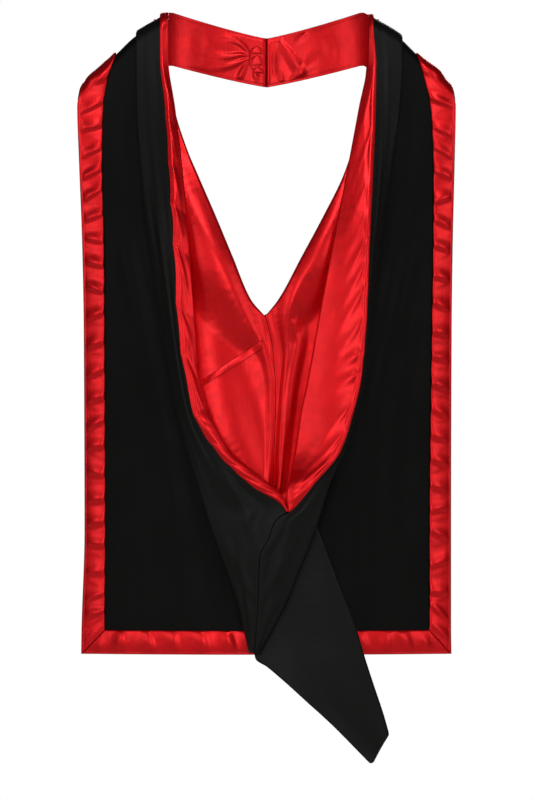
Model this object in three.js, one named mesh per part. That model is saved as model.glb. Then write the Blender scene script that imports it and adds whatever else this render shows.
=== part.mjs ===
// Academic hood, seen from the wearer's back: a black cape bound in red satin, a deep cowl with a
// red lining, a red neckband and a wide tail. Millimetres, +Z up, the back of the hood looks to -Y.
// The origin is the middle of the neck opening, at the height of the top of the shoulders.
import * as THREE from 'three';

// Driving dimensions
const halfWidth = 235; // centre line to the shoulder corner
const capeDrop = 767; // origin down to the hem
const shoulderRise = 67; // highest point of the neck down to the bottom of the neckband's end
const ridgeRadius = 14; // roundness of the cloth where it lies over the shoulder
const backDepth = 62; // how far the middle of the cape stands behind the shoulder ridge
const shoulderReturn = 82; // cloth in front of the shoulder ridge, at the neck
const cowlDepth = 48; // cape to the front of the cowl at its tip
const bandReach = 75; // neckband in front of the shoulder ridge
const bandSag = 29; // middle of the neckband below its ends
const bandNarrowing = 5.3; // neckband's ends wider than its middle
const bandOverlap = 14; // neckband's end behind the cowl
const bandParting = 3.6; // open slit between the two halves of the neckband
const bandGatherDepth = 1.6;
const capeThickness = 1.6;
const cowlThickness = 1.6;
const satinThickness = 1.2;
const bandThickness = 2.4;
const tailThickness = 1.5;
const tailFullness = 7; // tail from its upper to its lower layer
const rollWidth = 5.5; // rolled edge of the cowl
const rollHeight = 2.2;
const bindingWidth = 28;
const bindingPuff = 1.1;
const loopThickness = 3.6;
const loopWidth = 13;
const loopDrop = 21;
const tapeWidth = 10;
const capeFoldDepth = 4;
const liningFoldHeight = 3;
const tailWaveDepth = 2.5;
const clearance = 0.4; // between a piece and another one's edge
const layerGap = 0.9; // between cloths that lie on each other
const seamGap = 0.7; // each half of the cowl to their seam
const neckTuck = 4; // cape's neck edge behind the lining's
const foldRound = 1.2; // outward round of the cowl's fold
const rollOverlap = 0.8; // rolled edge over the edge of the black cloth
const facingTurn = 8; // facing turned under at its inner fold
const shoulderLevel = 0.05; // rows of the cowl lie level below this share of the drop
const cowlRowShare = 0.052; // longest step between the cowl's rows, as a share of the drop
const cowlFrontShare = 0.3; // cowl in front of the shoulder, as a share of the cape there
const facingFrontShare = 0.12;
const backBulgeShare = 0.42; // share of the drop over which the back bulges to its depth
const foldGrowth = 0.25; // share of the drop over which the cape's folds grow
const liningFoldFrom = 0.3; // share of the drop where the lining's folds lie as at the neck
const liningFoldSpan = 0.45; // share of the drop from there to the tip of the cowl
const cowlCrown = 0.06; // round of the cowl's face, as a share of how far its edge stands out
const cowlCrease = 0.02;
const panelCurve = 2.2; // above 1, a facing is rounded towards its inner fold
const bandEndAcross = 0.53; // neckband's end, as a share of the half width
const bandSagAcross = 0.5; // neckband's sag ends at this share of the half width
const bandSagCurve = 1.15;
const bandSquareness = 2.7; // 2 would bend the neckband in an ellipse, more flattens its middle

// Height of the shoulder ridge, as shares of the half width and of the cape's drop
const ridgeLine = [
  { across: 0.52, rise: 0.0385 },
  { across: 0.6, rise: 0.0241 },
  { across: 0.7, rise: 0.0055 },
  { across: 0.8, rise: -0.0235 },
  { across: 0.984, rise: -0.0763 },
  { across: 1.05, rise: -0.095 },
];

// Lower edge of the cloth in front of the shoulders, as shares of the half width and the return
const frontEdge = [
  { across: 0.56, fall: 1 },
  { across: 0.7, fall: 0.88 },
  { across: 0.84, fall: 0.68 },
  { across: 0.95, fall: 0.42 },
  { across: 0.984, fall: 0.3 },
];

// Side edges of the cape and inner edges of their bindings
const sideEdges = [
  { down: 0.0235, leftInner: -0.8, rightInner: 0.8, leftOuter: -0.95, rightOuter: 0.95 },
  { down: 0.05, leftInner: -0.842, rightInner: 0.835, leftOuter: -0.965, rightOuter: 0.965 },
  { down: 0.076, leftInner: -0.861, rightInner: 0.862, leftOuter: -0.984, rightOuter: 0.984 },
  { down: 0.101, leftInner: -0.87, rightInner: 0.876, leftOuter: -1.006, rightOuter: 1.006 },
  { down: 0.2, leftInner: -0.874, rightInner: 0.888, leftOuter: -0.996, rightOuter: 1.0 },
  { down: 0.33, leftInner: -0.865, rightInner: 0.886, leftOuter: -0.98, rightOuter: 0.99 },
  { down: 0.47, leftInner: -0.861, rightInner: 0.879, leftOuter: -0.971, rightOuter: 0.984 },
  { down: 0.8, leftInner: -0.858, rightInner: 0.867, leftOuter: -0.967, rightOuter: 0.981 },
  { down: 0.96, leftInner: -0.861, rightInner: 0.867, leftOuter: -0.983, rightOuter: 0.981 },
  { down: 1, leftInner: -0.861, rightInner: 0.865, leftOuter: -0.985, rightOuter: 0.983 },
];

// Edge of the neck opening, down to its point at the middle of the back
const neckEdge = [
  { down: -0.04, left: -0.545, right: 0.55 },
  { down: 0.042, left: -0.522, right: 0.53 },
  { down: 0.114, left: -0.486, right: 0.504 },
  { down: 0.179, left: -0.42, right: 0.453 },
  { down: 0.222, left: -0.361, right: 0.406 },
  { down: 0.287, left: -0.269, right: 0.302 },
  { down: 0.354, left: -0.178, right: 0.185 },
  { down: 0.424, left: -0.081, right: 0.061 },
  { down: 0.449, left: -0.012, right: -0.004 },
];

// Seam of the lining from the point of the neck opening down into the cowl
const liningSeam = [
  { down: 0.449, across: -0.008 },
  { down: 0.504, across: 0.033 },
  { down: 0.582, across: 0.048 },
  { down: 0.728, across: 0.033 },
  { down: 0.8, across: 0.02 },
];

// Long soft folds of the cape: places at the shoulder and at the hem and width, as shares of the
// half width, and share of the folds' depth
const capeFolds = [
  { shoulder: -0.76, hem: -0.7, width: 0.17, depth: 1 },
  { shoulder: 0.78, hem: 0.68, width: 0.17, depth: 1 },
  { shoulder: 0.45, hem: 0.3, width: 0.2, depth: 1 },
  { shoulder: -0.4, hem: -0.3, width: 0.2, depth: 1 },
];

// Soft folds of the lining: places at the neck and at the tip of the cowl and width, as shares of
// the half width, and share of the folds' height
const liningFolds = [
  { neck: -0.5, tip: -0.02, width: 0.1, depth: 0.8 },
  { neck: 0.12, tip: 0.09, width: 0.07, depth: 1 },
];

// Cowl, left of the wearer's back: edge, outer fold and seat on the cape. Edge, fold and seat are
// shares of the half width, the outs shares of the cowl's depth. A seat whose out is 0 lies on the cape
const cowlLeftSections = [
  { down: -0.04, edge: -0.56, edgeOut: 0.1, fold: -0.69, foldOut: 0.1, seat: -0.64, seatOut: 0 },
  { down: 0.033, edge: -0.559, edgeOut: 0.17, fold: -0.69, foldOut: 0.13, seat: -0.64, seatOut: 0 },
  { down: 0.114, edge: -0.538, edgeOut: 0.3, fold: -0.686, foldOut: 0.2, seat: -0.635, seatOut: 0 },
  { down: 0.212, edge: -0.517, edgeOut: 0.46, fold: -0.663, foldOut: 0.28, seat: -0.61, seatOut: 0 },
  { down: 0.341, edge: -0.488, edgeOut: 0.66, fold: -0.618, foldOut: 0.38, seat: -0.565, seatOut: 0 },
  { down: 0.455, edge: -0.469, edgeOut: 0.79, fold: -0.555, foldOut: 0.46, seat: -0.505, seatOut: 0 },
  { down: 0.554, edge: -0.424, edgeOut: 0.88, fold: -0.503, foldOut: 0.54, seat: -0.455, seatOut: 0 },
  { down: 0.612, edge: -0.378, edgeOut: 0.92, fold: -0.466, foldOut: 0.58, seat: -0.415, seatOut: 0 },
  { down: 0.669, edge: -0.264, edgeOut: 0.96, fold: -0.415, foldOut: 0.62, seat: -0.36, seatOut: 0 },
  { down: 0.721, edge: -0.093, edgeOut: 1, fold: -0.363, foldOut: 0.65, seat: -0.31, seatOut: 0 },
  { down: 0.768, edge: 0.108, edgeOut: 1, fold: -0.314, foldOut: 0.65, seat: -0.265, seatOut: 0 },
  { down: 0.773, edge: 0.08, edgeOut: 1, fold: -0.31, foldOut: 0.65, seat: -0.261, seatOut: 0 },
  { down: 0.785, edge: 0.042, edgeOut: 1, fold: -0.298, foldOut: 0.64, seat: -0.25, seatOut: 0 },
  { down: 0.81, edge: 0.012, edgeOut: 0.99, fold: -0.268, foldOut: 0.63, seat: -0.22, seatOut: 0 },
  { down: 0.841, edge: -0.036, edgeOut: 0.95, fold: -0.232, foldOut: 0.6, seat: -0.185, seatOut: 0 },
  { down: 0.913, edge: -0.046, edgeOut: 0.8, fold: -0.151, foldOut: 0.54, seat: -0.118, seatOut: 0.04 },
  { down: 0.996, edge: -0.062, edgeOut: 0.6, fold: -0.09, foldOut: 0.48, seat: -0.084, seatOut: 0.12 },
];

// Cowl, right of the wearer's back. Below the tip its fold crosses over the tail
const cowlRightSections = [
  { down: -0.04, edge: 0.565, edgeOut: 0.1, fold: 0.719, foldOut: 0.1, seat: 0.66, seatOut: 0 },
  { down: 0.033, edge: 0.579, edgeOut: 0.17, fold: 0.719, foldOut: 0.13, seat: 0.66, seatOut: 0 },
  { down: 0.114, edge: 0.575, edgeOut: 0.3, fold: 0.703, foldOut: 0.2, seat: 0.65, seatOut: 0 },
  { down: 0.212, edge: 0.561, edgeOut: 0.46, fold: 0.659, foldOut: 0.28, seat: 0.605, seatOut: 0 },
  { down: 0.341, edge: 0.541, edgeOut: 0.66, fold: 0.596, foldOut: 0.42, seat: 0.545, seatOut: 0 },
  { down: 0.455, edge: 0.526, edgeOut: 0.79, fold: 0.553, foldOut: 0.56, seat: 0.505, seatOut: 0 },
  { down: 0.554, edge: 0.496, edgeOut: 0.88, fold: 0.519, foldOut: 0.66, seat: 0.475, seatOut: 0 },
  { down: 0.612, edge: 0.451, edgeOut: 0.92, fold: 0.475, foldOut: 0.7, seat: 0.435, seatOut: 0 },
  { down: 0.669, edge: 0.388, edgeOut: 0.96, fold: 0.412, foldOut: 0.74, seat: 0.37, seatOut: 0.05 },
  { down: 0.721, edge: 0.251, edgeOut: 1, fold: 0.334, foldOut: 0.76, seat: 0.29, seatOut: 0.16 },
  { down: 0.768, edge: 0.115, edgeOut: 1, fold: 0.285, foldOut: 0.76, seat: 0.245, seatOut: 0.24 },
  { down: 0.773, edge: 0.084, edgeOut: 1, fold: 0.28, foldOut: 0.76, seat: 0.241, seatOut: 0.24 },
  { down: 0.785, edge: 0.042, edgeOut: 1, fold: 0.268, foldOut: 0.76, seat: 0.23, seatOut: 0.24 },
  { down: 0.81, edge: 0.012, edgeOut: 0.99, fold: 0.237, foldOut: 0.75, seat: 0.2, seatOut: 0.24 },
  { down: 0.841, edge: -0.036, edgeOut: 0.95, fold: 0.195, foldOut: 0.74, seat: 0.16, seatOut: 0.25 },
  { down: 0.913, edge: -0.046, edgeOut: 0.8, fold: 0.101, foldOut: 0.66, seat: 0.072, seatOut: 0.275 },
  { down: 0.996, edge: -0.062, edgeOut: 0.6, fold: -0.04, foldOut: 0.56, seat: -0.048, seatOut: 0.275 },
];

// Inner edges of the red facings behind the rolled edge, and how far they stand off the cape
const facingSections = [
  { down: -0.04, left: -0.53, leftOut: 0.1, right: 0.545, rightOut: 0.1 },
  { down: 0.033, left: -0.527, leftOut: 0.13, right: 0.54, rightOut: 0.12 },
  { down: 0.114, left: -0.488, leftOut: 0.2, right: 0.492, rightOut: 0.2 },
  { down: 0.212, left: -0.449, leftOut: 0.33, right: 0.432, rightOut: 0.28 },
  { down: 0.341, left: -0.413, leftOut: 0.5, right: 0.351, rightOut: 0.34 },
  { down: 0.455, left: -0.385, leftOut: 0.62, right: 0.28, rightOut: 0.38 },
  { down: 0.554, left: -0.355, leftOut: 0.7, right: 0.221, rightOut: 0.42 },
  { down: 0.612, left: -0.297, leftOut: 0.74, right: 0.182, rightOut: 0.46 },
  { down: 0.669, left: -0.2, leftOut: 0.82, right: 0.156, rightOut: 0.54 },
  { down: 0.721, left: 0, leftOut: 0.9, right: 0.121, rightOut: 0.74 },
  { down: 0.745, left: 0.088, leftOut: 0.92, right: 0.11, rightOut: 0.86 },
  { down: 0.76, left: 0.1, leftOut: 0.94, right: 0.114, rightOut: 0.94 },
];

// Outer edges of the lining under the facings
const liningSections = [
  { down: 0.042, left: -0.55, right: 0.56 },
  { down: 0.114, left: -0.53, right: 0.545 },
  { down: 0.212, left: -0.5, right: 0.5 },
  { down: 0.341, left: -0.46, right: 0.43 },
  { down: 0.455, left: -0.43, right: 0.36 },
  { down: 0.554, left: -0.39, right: 0.3 },
  { down: 0.669, left: -0.29, right: 0.23 },
  { down: 0.8, left: -0.12, right: 0.1 },
];

// Tail, from under the cowl to its squared end: both side edges, and how far it stands off the cape
const tailSections = [
  { left: -0.02, leftDown: 0.89, right: 0.21, rightDown: 0.742, out: 0.17 },
  { left: -0.062, leftDown: 0.965, right: 0.305, rightDown: 0.818, out: 0.19 },
  { left: -0.055, leftDown: 1.006, right: 0.39, rightDown: 0.887, out: 0.21 },
  { left: 0.002, leftDown: 1.021, right: 0.464, rightDown: 0.945, out: 0.23 },
  { left: 0.092, leftDown: 1.044, right: 0.52, rightDown: 1.003, out: 0.26 },
  { left: 0.209, leftDown: 1.076, right: 0.571, rightDown: 1.051, out: 0.28 },
  { left: 0.337, leftDown: 1.111, right: 0.619, rightDown: 1.095, out: 0.27 },
  { left: 0.545, leftDown: 1.175, right: 0.65, rightDown: 1.128, out: 0.25 },
];

// Creases of the neckband where the two halves meet: height at the slit, rise towards the
// band's end and width, all as shares of the band's height
const bandGathers = [
  { height: 0.68, spread: 0.3, width: 0.12 },
  { height: 0.36, spread: -0.25, width: 0.12 },
];

// Rolled edge of the cowl from its crest: shares of its width and of its height
const rollSection = [
  { reach: 0.35, rise: 0.4 },
  { reach: 0.75, rise: -0.1 },
  { reach: 1, rise: -1 },
];

// Turn of the cowl from its fold to its seat on the cape, as shares of the way back and of the way in
const foldSection = [
  { round: 1, inwards: 0, backwards: 0.3 },
  { round: 0, inwards: 0.35, backwards: 0.72 },
];

// Middle of the fastening loop, as shares of the left half of the band and of its height
const loopPlace = { way: 0.055, height: 0.56 };

// Upper edge of the tape on the lining, as shares of the half width and of the drop
const tapeEdge = [
  { share: 0, across: -0.335, down: 0.553 },
  { share: 1, across: -0.02, down: 0.489 },
];

// The tail's two layers: shares of its width where they start and turn, and where they lie fullest
const tailLayers = { start: 0.01, turn: 0.97, fullFrom: 0.12, fullSpan: 0.75, waveShift: 3 };

const satin = { color: 0xd80f1c, roughness: 0.36, metalness: 0 };
const satinDeep = { color: 0xb80c18, roughness: 0.38, metalness: 0 };
const blackCloth = { color: 0x121310, roughness: 0.85, metalness: 0 };

const hood = new THREE.Group();

// A value of one column of a table between its rows, on a smooth curve that doesn't overshoot
function between(table, key, column, place) {
  const last = table.length - 1;
  if (place <= table[0][key]) {
    return table[0][column];
  }
  if (place >= table[last][key]) {
    return table[last][column];
  }
  let row = 0;
  while (place > table[row + 1][key]) {
    row += 1;
  }
  const slope = (from) => (
    (table[from + 1][column] - table[from][column]) / (table[from + 1][key] - table[from][key])
  );
  const tangent = (at) => {
    if (at === 0 || at === last) {
      return slope(at === 0 ? 0 : last - 1);
    }
    const before = slope(at - 1);
    const after = slope(at);
    return before * after <= 0 ? 0 : (2 * before * after) / (before + after);
  };
  const step = table[row + 1][key] - table[row][key];
  const t = (place - table[row][key]) / step;
  const start = table[row][column] * (1 + 2 * t) * (1 - t) ** 2 + tangent(row) * step * t * (1 - t) ** 2;
  const end = table[row + 1][column] * t * t * (3 - 2 * t) - tangent(row + 1) * step * t * t * (1 - t);
  return start + end;
}

function mix(from, to, share) {
  return from + (to - from) * share;
}

function easeIn(share) {
  return THREE.MathUtils.smoothstep(share, 0, 1);
}

function ridgeHeight(x) {
  return between(ridgeLine, 'across', 'rise', Math.abs(x) / halfWidth) * capeDrop;
}

// Height of a row of a hanging piece: level below `levelFrom`, slanting up to the shoulder above it
const ridgeDown = -ridgeLine[0].rise;
function rowHeight(x, down, levelFrom) {
  const lift = THREE.MathUtils.clamp((levelFrom - down) / (levelFrom - ridgeDown), 0, 1);
  return -down * capeDrop + lift * (ridgeHeight(x) - ridgeRadius + ridgeDown * capeDrop);
}

// Height of soft folds at x: `share` 0 at the start of the folds, 1 at their end
function foldHeight(table, from, to, x, share) {
  let height = 0;
  for (const fold of table) {
    const middle = mix(fold[from], fold[to], share) * halfWidth;
    height += fold.depth * Math.exp(-(((x - middle) / (fold.width * halfWidth)) ** 2));
  }
  return height;
}

// Rise of a cloth that stands 1 mm off the slanting ridge
function ridgeRise(x) {
  const slope = (ridgeHeight(x + 1) - ridgeHeight(x - 1)) / 2;
  return Math.sqrt(1 + slope ** 2);
}

// A point of the draped cloth: `fall` is the way down from the ridge, behind it or (below 0) in
// front of it, and `out` the distance from the cape's outer face
function drape(x, fall, out) {
  const way = Math.abs(fall);
  const upright = Math.max(1 - way / ridgeRadius, 0);
  const round = (ridgeRadius + out) * Math.sqrt(1 - upright ** 2);
  const z = ridgeHeight(x) - way + out * upright * ridgeRise(x);
  if (fall < 0) {
    return new THREE.Vector3(x, round, z);
  }
  const share = THREE.MathUtils.clamp(way / capeDrop, 0, 1);
  const crown = 1 - (x / halfWidth) ** 2;
  const bulge = backDepth * Math.max(crown, 0) * easeIn(share / backBulgeShare);
  const grown = capeFoldDepth * easeIn(share / foldGrowth);
  const folds = foldHeight(capeFolds, 'shoulder', 'hem', x, share) * grown;
  return new THREE.Vector3(x, -round - bulge - folds, z);
}

// The same point, found by its height
function drapeAt(x, z, out) {
  const below = ridgeHeight(x) - z;
  const lift = out * ridgeRise(x);
  const fall = below < ridgeRadius ? (below + lift) / (1 + lift / ridgeRadius) : below;
  return drape(x, Math.max(fall, 0), out);
}

// Rows over the shoulder: shares of the cloth in front of the ridge, then angles round it
const frontShares = [1, 0.6, 0.3, 0.12, 0.04];
const ridgeAngles = [0, 30, 60];

function shoulderRows(frontShare) {
  const front = frontShares.filter((share) => share <= frontShare).map((share) => ({ front: share }));
  return front.concat(ridgeAngles.map((angle) => ({ angle })));
}

// A point of a hanging piece in one of its rows
function hang(x, row, out, levelFrom, trim = 0) {
  if (row.front !== undefined) {
    const reach = between(frontEdge, 'across', 'fall', Math.abs(x) / halfWidth) * shoulderReturn;
    return drape(x, -reach * row.front + (row.front === 1 ? trim : 0), out);
  }
  if (row.angle !== undefined) {
    const turn = 1 - Math.cos(THREE.MathUtils.degToRad(row.angle));
    return drape(x, ridgeRadius * turn, out);
  }
  return drapeAt(x, rowHeight(x, row.down, levelFrom), out);
}

function rowDown(row) {
  return row.down === undefined ? ridgeDown : row.down;
}

// Rows down the back of the cape: to the point of the neck opening, then to the hem
const neckPoint = neckEdge[neckEdge.length - 1].down;
const upperSteps = 12;
const lowerSteps = 6;

function upperRows() {
  const rows = shoulderRows(1);
  for (let step = 0; step <= upperSteps; step += 1) {
    rows.push({ down: mix(ridgeDown, neckPoint, step / upperSteps) });
  }
  return rows;
}

function lowerRows() {
  const rows = [];
  for (let step = 1; step <= lowerSteps; step += 1) {
    rows.push({ down: mix(neckPoint, 1, step / lowerSteps) });
  }
  return rows;
}

// Rows of a cowl piece: at each row of its table, with more between where they lie far apart
function cowlRows(table, frontShare, last) {
  const rows = shoulderRows(frontShare);
  for (let row = 0; row < table.length - 1; row += 1) {
    const from = table[row].down;
    const to = table[row + 1].down;
    const steps = Math.ceil((to - from) / cowlRowShare);
    for (let step = 0; step < steps; step += 1) {
      rows.push({ down: mix(from, to, step / steps) });
    }
  }
  const above = rows.filter((row) => row.down === undefined || row.down < last - cowlRowShare / 4);
  return above.concat([{ down: last }]);
}

// Faces of a sheet whose points lie in rows; every row has the same number of points
function sheetFaces(rowCount, pointCount) {
  const faces = [];
  for (let row = 0; row < rowCount - 1; row += 1) {
    for (let point = 0; point < pointCount - 1; point += 1) {
      const corner = row * pointCount + point;
      const below = corner + pointCount;
      faces.push([corner, below, below + 1], [corner, below + 1, corner + 1]);
    }
  }
  return faces;
}

// Points of two sheets that share the points at the end of one and the start of the other
function weld(points, faces) {
  const found = new Map();
  const kept = [];
  const index = points.map((point) => {
    const key = `${point.x.toFixed(2)} ${point.y.toFixed(2)} ${point.z.toFixed(2)}`;
    if (!found.has(key)) {
      found.set(key, kept.length);
      kept.push(point);
    }
    return found.get(key);
  });
  const joined = faces.map((face) => face.map((corner) => index[corner]));
  return { points: kept, faces: joined.filter(([a, b, c]) => a !== b && b !== c && c !== a) };
}

// A closed wall from its outer face: the inner face lies `thickness` behind it
function wall(points, faces, thickness) {
  const outer = new THREE.BufferGeometry().setFromPoints(points);
  outer.setIndex(faces.flat());
  outer.computeVertexNormals();
  const normals = outer.getAttribute('normal');
  const corners = points.slice();
  const normal = new THREE.Vector3();
  points.forEach((point, at) => {
    normal.fromBufferAttribute(normals, at);
    corners.push(point.clone().addScaledVector(normal, -thickness));
  });
  const behind = points.length;
  const triangles = faces.slice();
  const edges = new Map();
  for (const [a, b, c] of faces) {
    triangles.push([a + behind, c + behind, b + behind]);
    for (const [from, to] of [[a, b], [b, c], [c, a]]) {
      edges.set(`${from} ${to}`, [from, to]);
    }
  }
  for (const [from, to] of edges.values()) {
    if (!edges.has(`${to} ${from}`)) {
      triangles.push([to, from, from + behind], [to, from + behind, to + behind]);
    }
  }
  const geometry = new THREE.BufferGeometry().setFromPoints(corners);
  geometry.setIndex(triangles.flat());
  geometry.computeVertexNormals();
  return geometry;
}

function addPiece(name, geometry, finish) {
  const piece = new THREE.Mesh(geometry, new THREE.MeshStandardMaterial(finish));
  piece.name = name;
  hood.add(piece);
}

function addSheet(name, rows, thickness, finish) {
  addPiece(name, wall(rows.flat(), sheetFaces(rows.length, rows[0].length), thickness), finish);
}

function sideAt(column, z) {
  return between(sideEdges, 'down', column, -z / capeDrop) * halfWidth;
}

// A side edge in one of the cape's rows. In front it keeps its place on the shoulder ridge, then
// it eases out to the edge of the back: the outer edge at once, the seam of the binding later
function sideEdge(column, side, row) {
  const outer = column.endsWith('Outer');
  const start = side * ridgeLine[outer ? 4 : 3].across * halfWidth;
  if (row.front !== undefined) {
    return start;
  }
  const edge = sideAt(column, rowHeight(start, rowDown(row), neckPoint));
  if (row.angle === undefined) {
    return edge;
  }
  const angle = THREE.MathUtils.degToRad(row.angle);
  return mix(start, edge, outer ? Math.sin(angle) : 1 - Math.cos(angle));
}

// The cape's own cloth ends inside its binding
const capeInset = satinThickness + 2.5 * layerGap;

function buildCape() {
  const columns = 8;
  const upper = upperRows();
  const lower = lowerRows();
  const halves = [-1, 1].map((side) => {
    const outerColumn = side < 0 ? 'leftOuter' : 'rightOuter';
    const innerColumn = side < 0 ? 'left' : 'right';
    return upper.concat(lower).map((row) => {
      const down = rowDown(row);
      const outer = sideEdge(outerColumn, side, row) - side * capeInset;
      const tuck = down < neckPoint ? side * neckTuck : 0;
      const neck = between(neckEdge, 'down', innerColumn, down) * halfWidth + tuck;
      const points = [];
      for (let column = 0; column <= columns; column += 1) {
        const x = mix(outer, neck, side < 0 ? column / columns : 1 - column / columns);
        const hem = row.down === 1 ? { down: 1 - capeInset / capeDrop } : row;
        points.push(hang(x, hem, 0, neckPoint, capeInset));
      }
      return points;
    });
  });
  const [left, right] = halves;
  for (let row = upper.length - 1; row < left.length; row += 1) {
    right[row][0] = left[row][columns];
  }
  const faces = sheetFaces(left.length, columns + 1);
  const count = left.flat().length;
  const all = faces.concat(faces.map((face) => face.map((corner) => corner + count)));
  const cloth = weld(left.flat().concat(right.flat()), all);
  addPiece('cape', wall(cloth.points, cloth.faces, capeThickness), blackCloth);
}

// Section of a binding from its seam on the back, round the cape's edge, to its seam inside
const backOut = layerGap + satinThickness;
const insideOut = -capeThickness - backOut;
const bindingSection = [
  { reach: 0, out: backOut },
  { reach: 0.5, out: backOut + bindingPuff },
  { reach: 0.96, out: backOut },
  { reach: 1, out: -capeThickness / 2 },
  { reach: 0.96, out: insideOut },
  { reach: 0.1, out: insideOut },
];

function buildSideBinding(name, side) {
  const inner = side < 0 ? 'leftInner' : 'rightInner';
  const outer = side < 0 ? 'leftOuter' : 'rightOuter';
  const order = side < 0 ? bindingSection.slice().reverse() : bindingSection;
  const rows = upperRows().concat(lowerRows()).map((row) => {
    const seam = sideEdge(inner, side, row);
    const edge = sideEdge(outer, side, row);
    return order.map(({ reach, out }) => {
      const mitre = row.down === 1 ? (1 - reach) * bindingWidth / capeDrop : 0;
      const place = row.down === 1 ? { down: 1 - mitre } : row;
      return hang(mix(seam, edge, reach), place, out, neckPoint);
    });
  });
  addSheet(name, rows, satinThickness, satin);
}

function buildHemBinding() {
  const steps = 24;
  const rows = bindingSection.map(({ reach, out }) => {
    const z = -capeDrop + bindingWidth * (1 - reach);
    const left = mix(sideAt('leftInner', z), sideAt('leftOuter', z), reach) + 2 * layerGap;
    const right = mix(sideAt('rightInner', z), sideAt('rightOuter', z), reach) - 2 * layerGap;
    const points = [];
    for (let step = 0; step <= steps; step += 1) {
      points.push(drapeAt(mix(left, right, step / steps), z, out));
    }
    return points;
  });
  addSheet('binding_hem', rows, satinThickness, satin);
}

// Black outer cloth of the cowl on one side, from the rolled edge round its fold to the cape
function buildCowl(name, side, sections) {
  const faceSteps = 6;
  const lastDown = sections[sections.length - 1].down;
  const rows = cowlRows(sections, cowlFrontShare, lastDown).map((row) => {
    const value = (column) => between(sections, 'down', column, rowDown(row));
    const edge = value('edge') * halfWidth + side * seamGap;
    const fold = value('fold') * halfWidth;
    const seat = value('seat') * halfWidth;
    const edgeOut = value('edgeOut') * cowlDepth;
    const foldOut = value('foldOut') * cowlDepth;
    const seatOut = layerGap + value('seatOut') * cowlDepth;
    const section = [];
    for (let step = 0; step <= faceSteps; step += 1) {
      const share = step / faceSteps;
      const swell = cowlCrown + cowlCrease * Math.cos(4 * Math.PI * share);
      const out = mix(edgeOut, foldOut, share) + edgeOut * swell * Math.sin(Math.PI * share);
      section.push([mix(edge, fold, share), out]);
    }
    for (const { round, inwards, backwards } of foldSection) {
      const x = mix(fold, seat, inwards) + side * round * foldRound;
      section.push([x, mix(foldOut, seatOut, backwards)]);
    }
    section.push([seat, seatOut]);
    if (side < 0) {
      section.reverse();
    }
    return section.map(([x, out]) => hang(x, row, out, shoulderLevel));
  });
  addSheet(name, rows, cowlThickness, blackCloth);
}

// How far the lining stands off the cape
function liningOut(x, down) {
  const share = THREE.MathUtils.clamp((down - liningFoldFrom) / liningFoldSpan, 0, 1);
  const folds = foldHeight(liningFolds, 'neck', 'tip', x, share) * liningFoldHeight;
  return layerGap + satinThickness + folds * easeIn(down / liningFoldFrom);
}

// Red facing on one side: the rolled edge over the black cloth's edge, then the satin that turns
// in to lie on the lining
function buildFacing(name, side, sections) {
  const inner = side < 0 ? 'left' : 'right';
  const panelSteps = side < 0 ? 3 : 4;
  const lastDown = facingSections[facingSections.length - 1].down;
  const rows = cowlRows(sections, facingFrontShare, lastDown).map((row) => {
    const down = rowDown(row);
    const edge = between(sections, 'down', 'edge', down) * halfWidth;
    const edgeOut = between(sections, 'down', 'edgeOut', down) * cowlDepth;
    const inside = between(facingSections, 'down', inner, down) * halfWidth;
    const insideStand = between(facingSections, 'down', `${inner}Out`, down) * cowlDepth;
    const width = Math.abs(edge - inside);
    const roll = Math.min(rollWidth, width * 0.6);
    const top = edgeOut + layerGap + satinThickness;
    const section = [[edge + side * rollOverlap, top]];
    for (const { reach, rise } of rollSection) {
      section.push([edge - side * roll * reach, top + rollHeight * rise]);
    }
    for (let step = 1; step <= panelSteps; step += 1) {
      const share = step / panelSteps;
      const out = mix(top - rollHeight, insideStand, share ** panelCurve);
      section.push([mix(edge - side * roll, inside, share), out]);
    }
    const turned = inside + side * Math.min(width * 0.3, facingTurn);
    const base = liningOut(turned, down) + clearance + satinThickness;
    section.push([turned, Math.min(base, insideStand - satinThickness)]);
    if (side < 0) {
      section.reverse();
    }
    return section.map(([x, out]) => hang(x, row, out, shoulderLevel));
  });
  addSheet(name, rows, satinThickness, satin);
}

// Red lining of the cowl's back, one half on each side of its seam
function buildLining(name, side) {
  const columns = 7;
  const outerColumn = side < 0 ? 'left' : 'right';
  const downs = [];
  const count = 22;
  const first = liningSections[0].down;
  const last = liningSections[liningSections.length - 1].down;
  for (let step = 0; step <= count; step += 1) {
    downs.push(mix(first, last, step / count));
  }
  const rows = downs.map((down) => {
    const outer = between(liningSections, 'down', outerColumn, down) * halfWidth;
    const neck = between(neckEdge, 'down', outerColumn, down);
    const seam = between(liningSeam, 'down', 'across', down);
    const inner = (down < neckPoint ? neck : seam) * halfWidth + side * clearance / 2;
    const points = [];
    for (let column = 0; column <= columns; column += 1) {
      const share = side < 0 ? column / columns : 1 - column / columns;
      const x = mix(outer, inner, share);
      points.push(drapeAt(x, -down * capeDrop, liningOut(x, down)));
    }
    return points;
  });
  addSheet(name, rows, satinThickness, satinDeep);
}

// Satin tape sewn across the left half of the lining, rising to the seam
function buildTape() {
  const steps = 8;
  const rows = [];
  for (const edge of [0, 1]) {
    const points = [];
    for (let step = 0; step <= steps; step += 1) {
      const share = step / steps;
      const x = between(tapeEdge, 'share', 'across', share) * halfWidth;
      const z = -between(tapeEdge, 'share', 'down', share) * capeDrop - edge * tapeWidth;
      const out = liningOut(x, -z / capeDrop) + satinThickness + layerGap;
      points.push(drapeAt(x, z, out));
    }
    rows.push(points);
  }
  addSheet('lining_tape', rows, satinThickness, satin);
}

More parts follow.
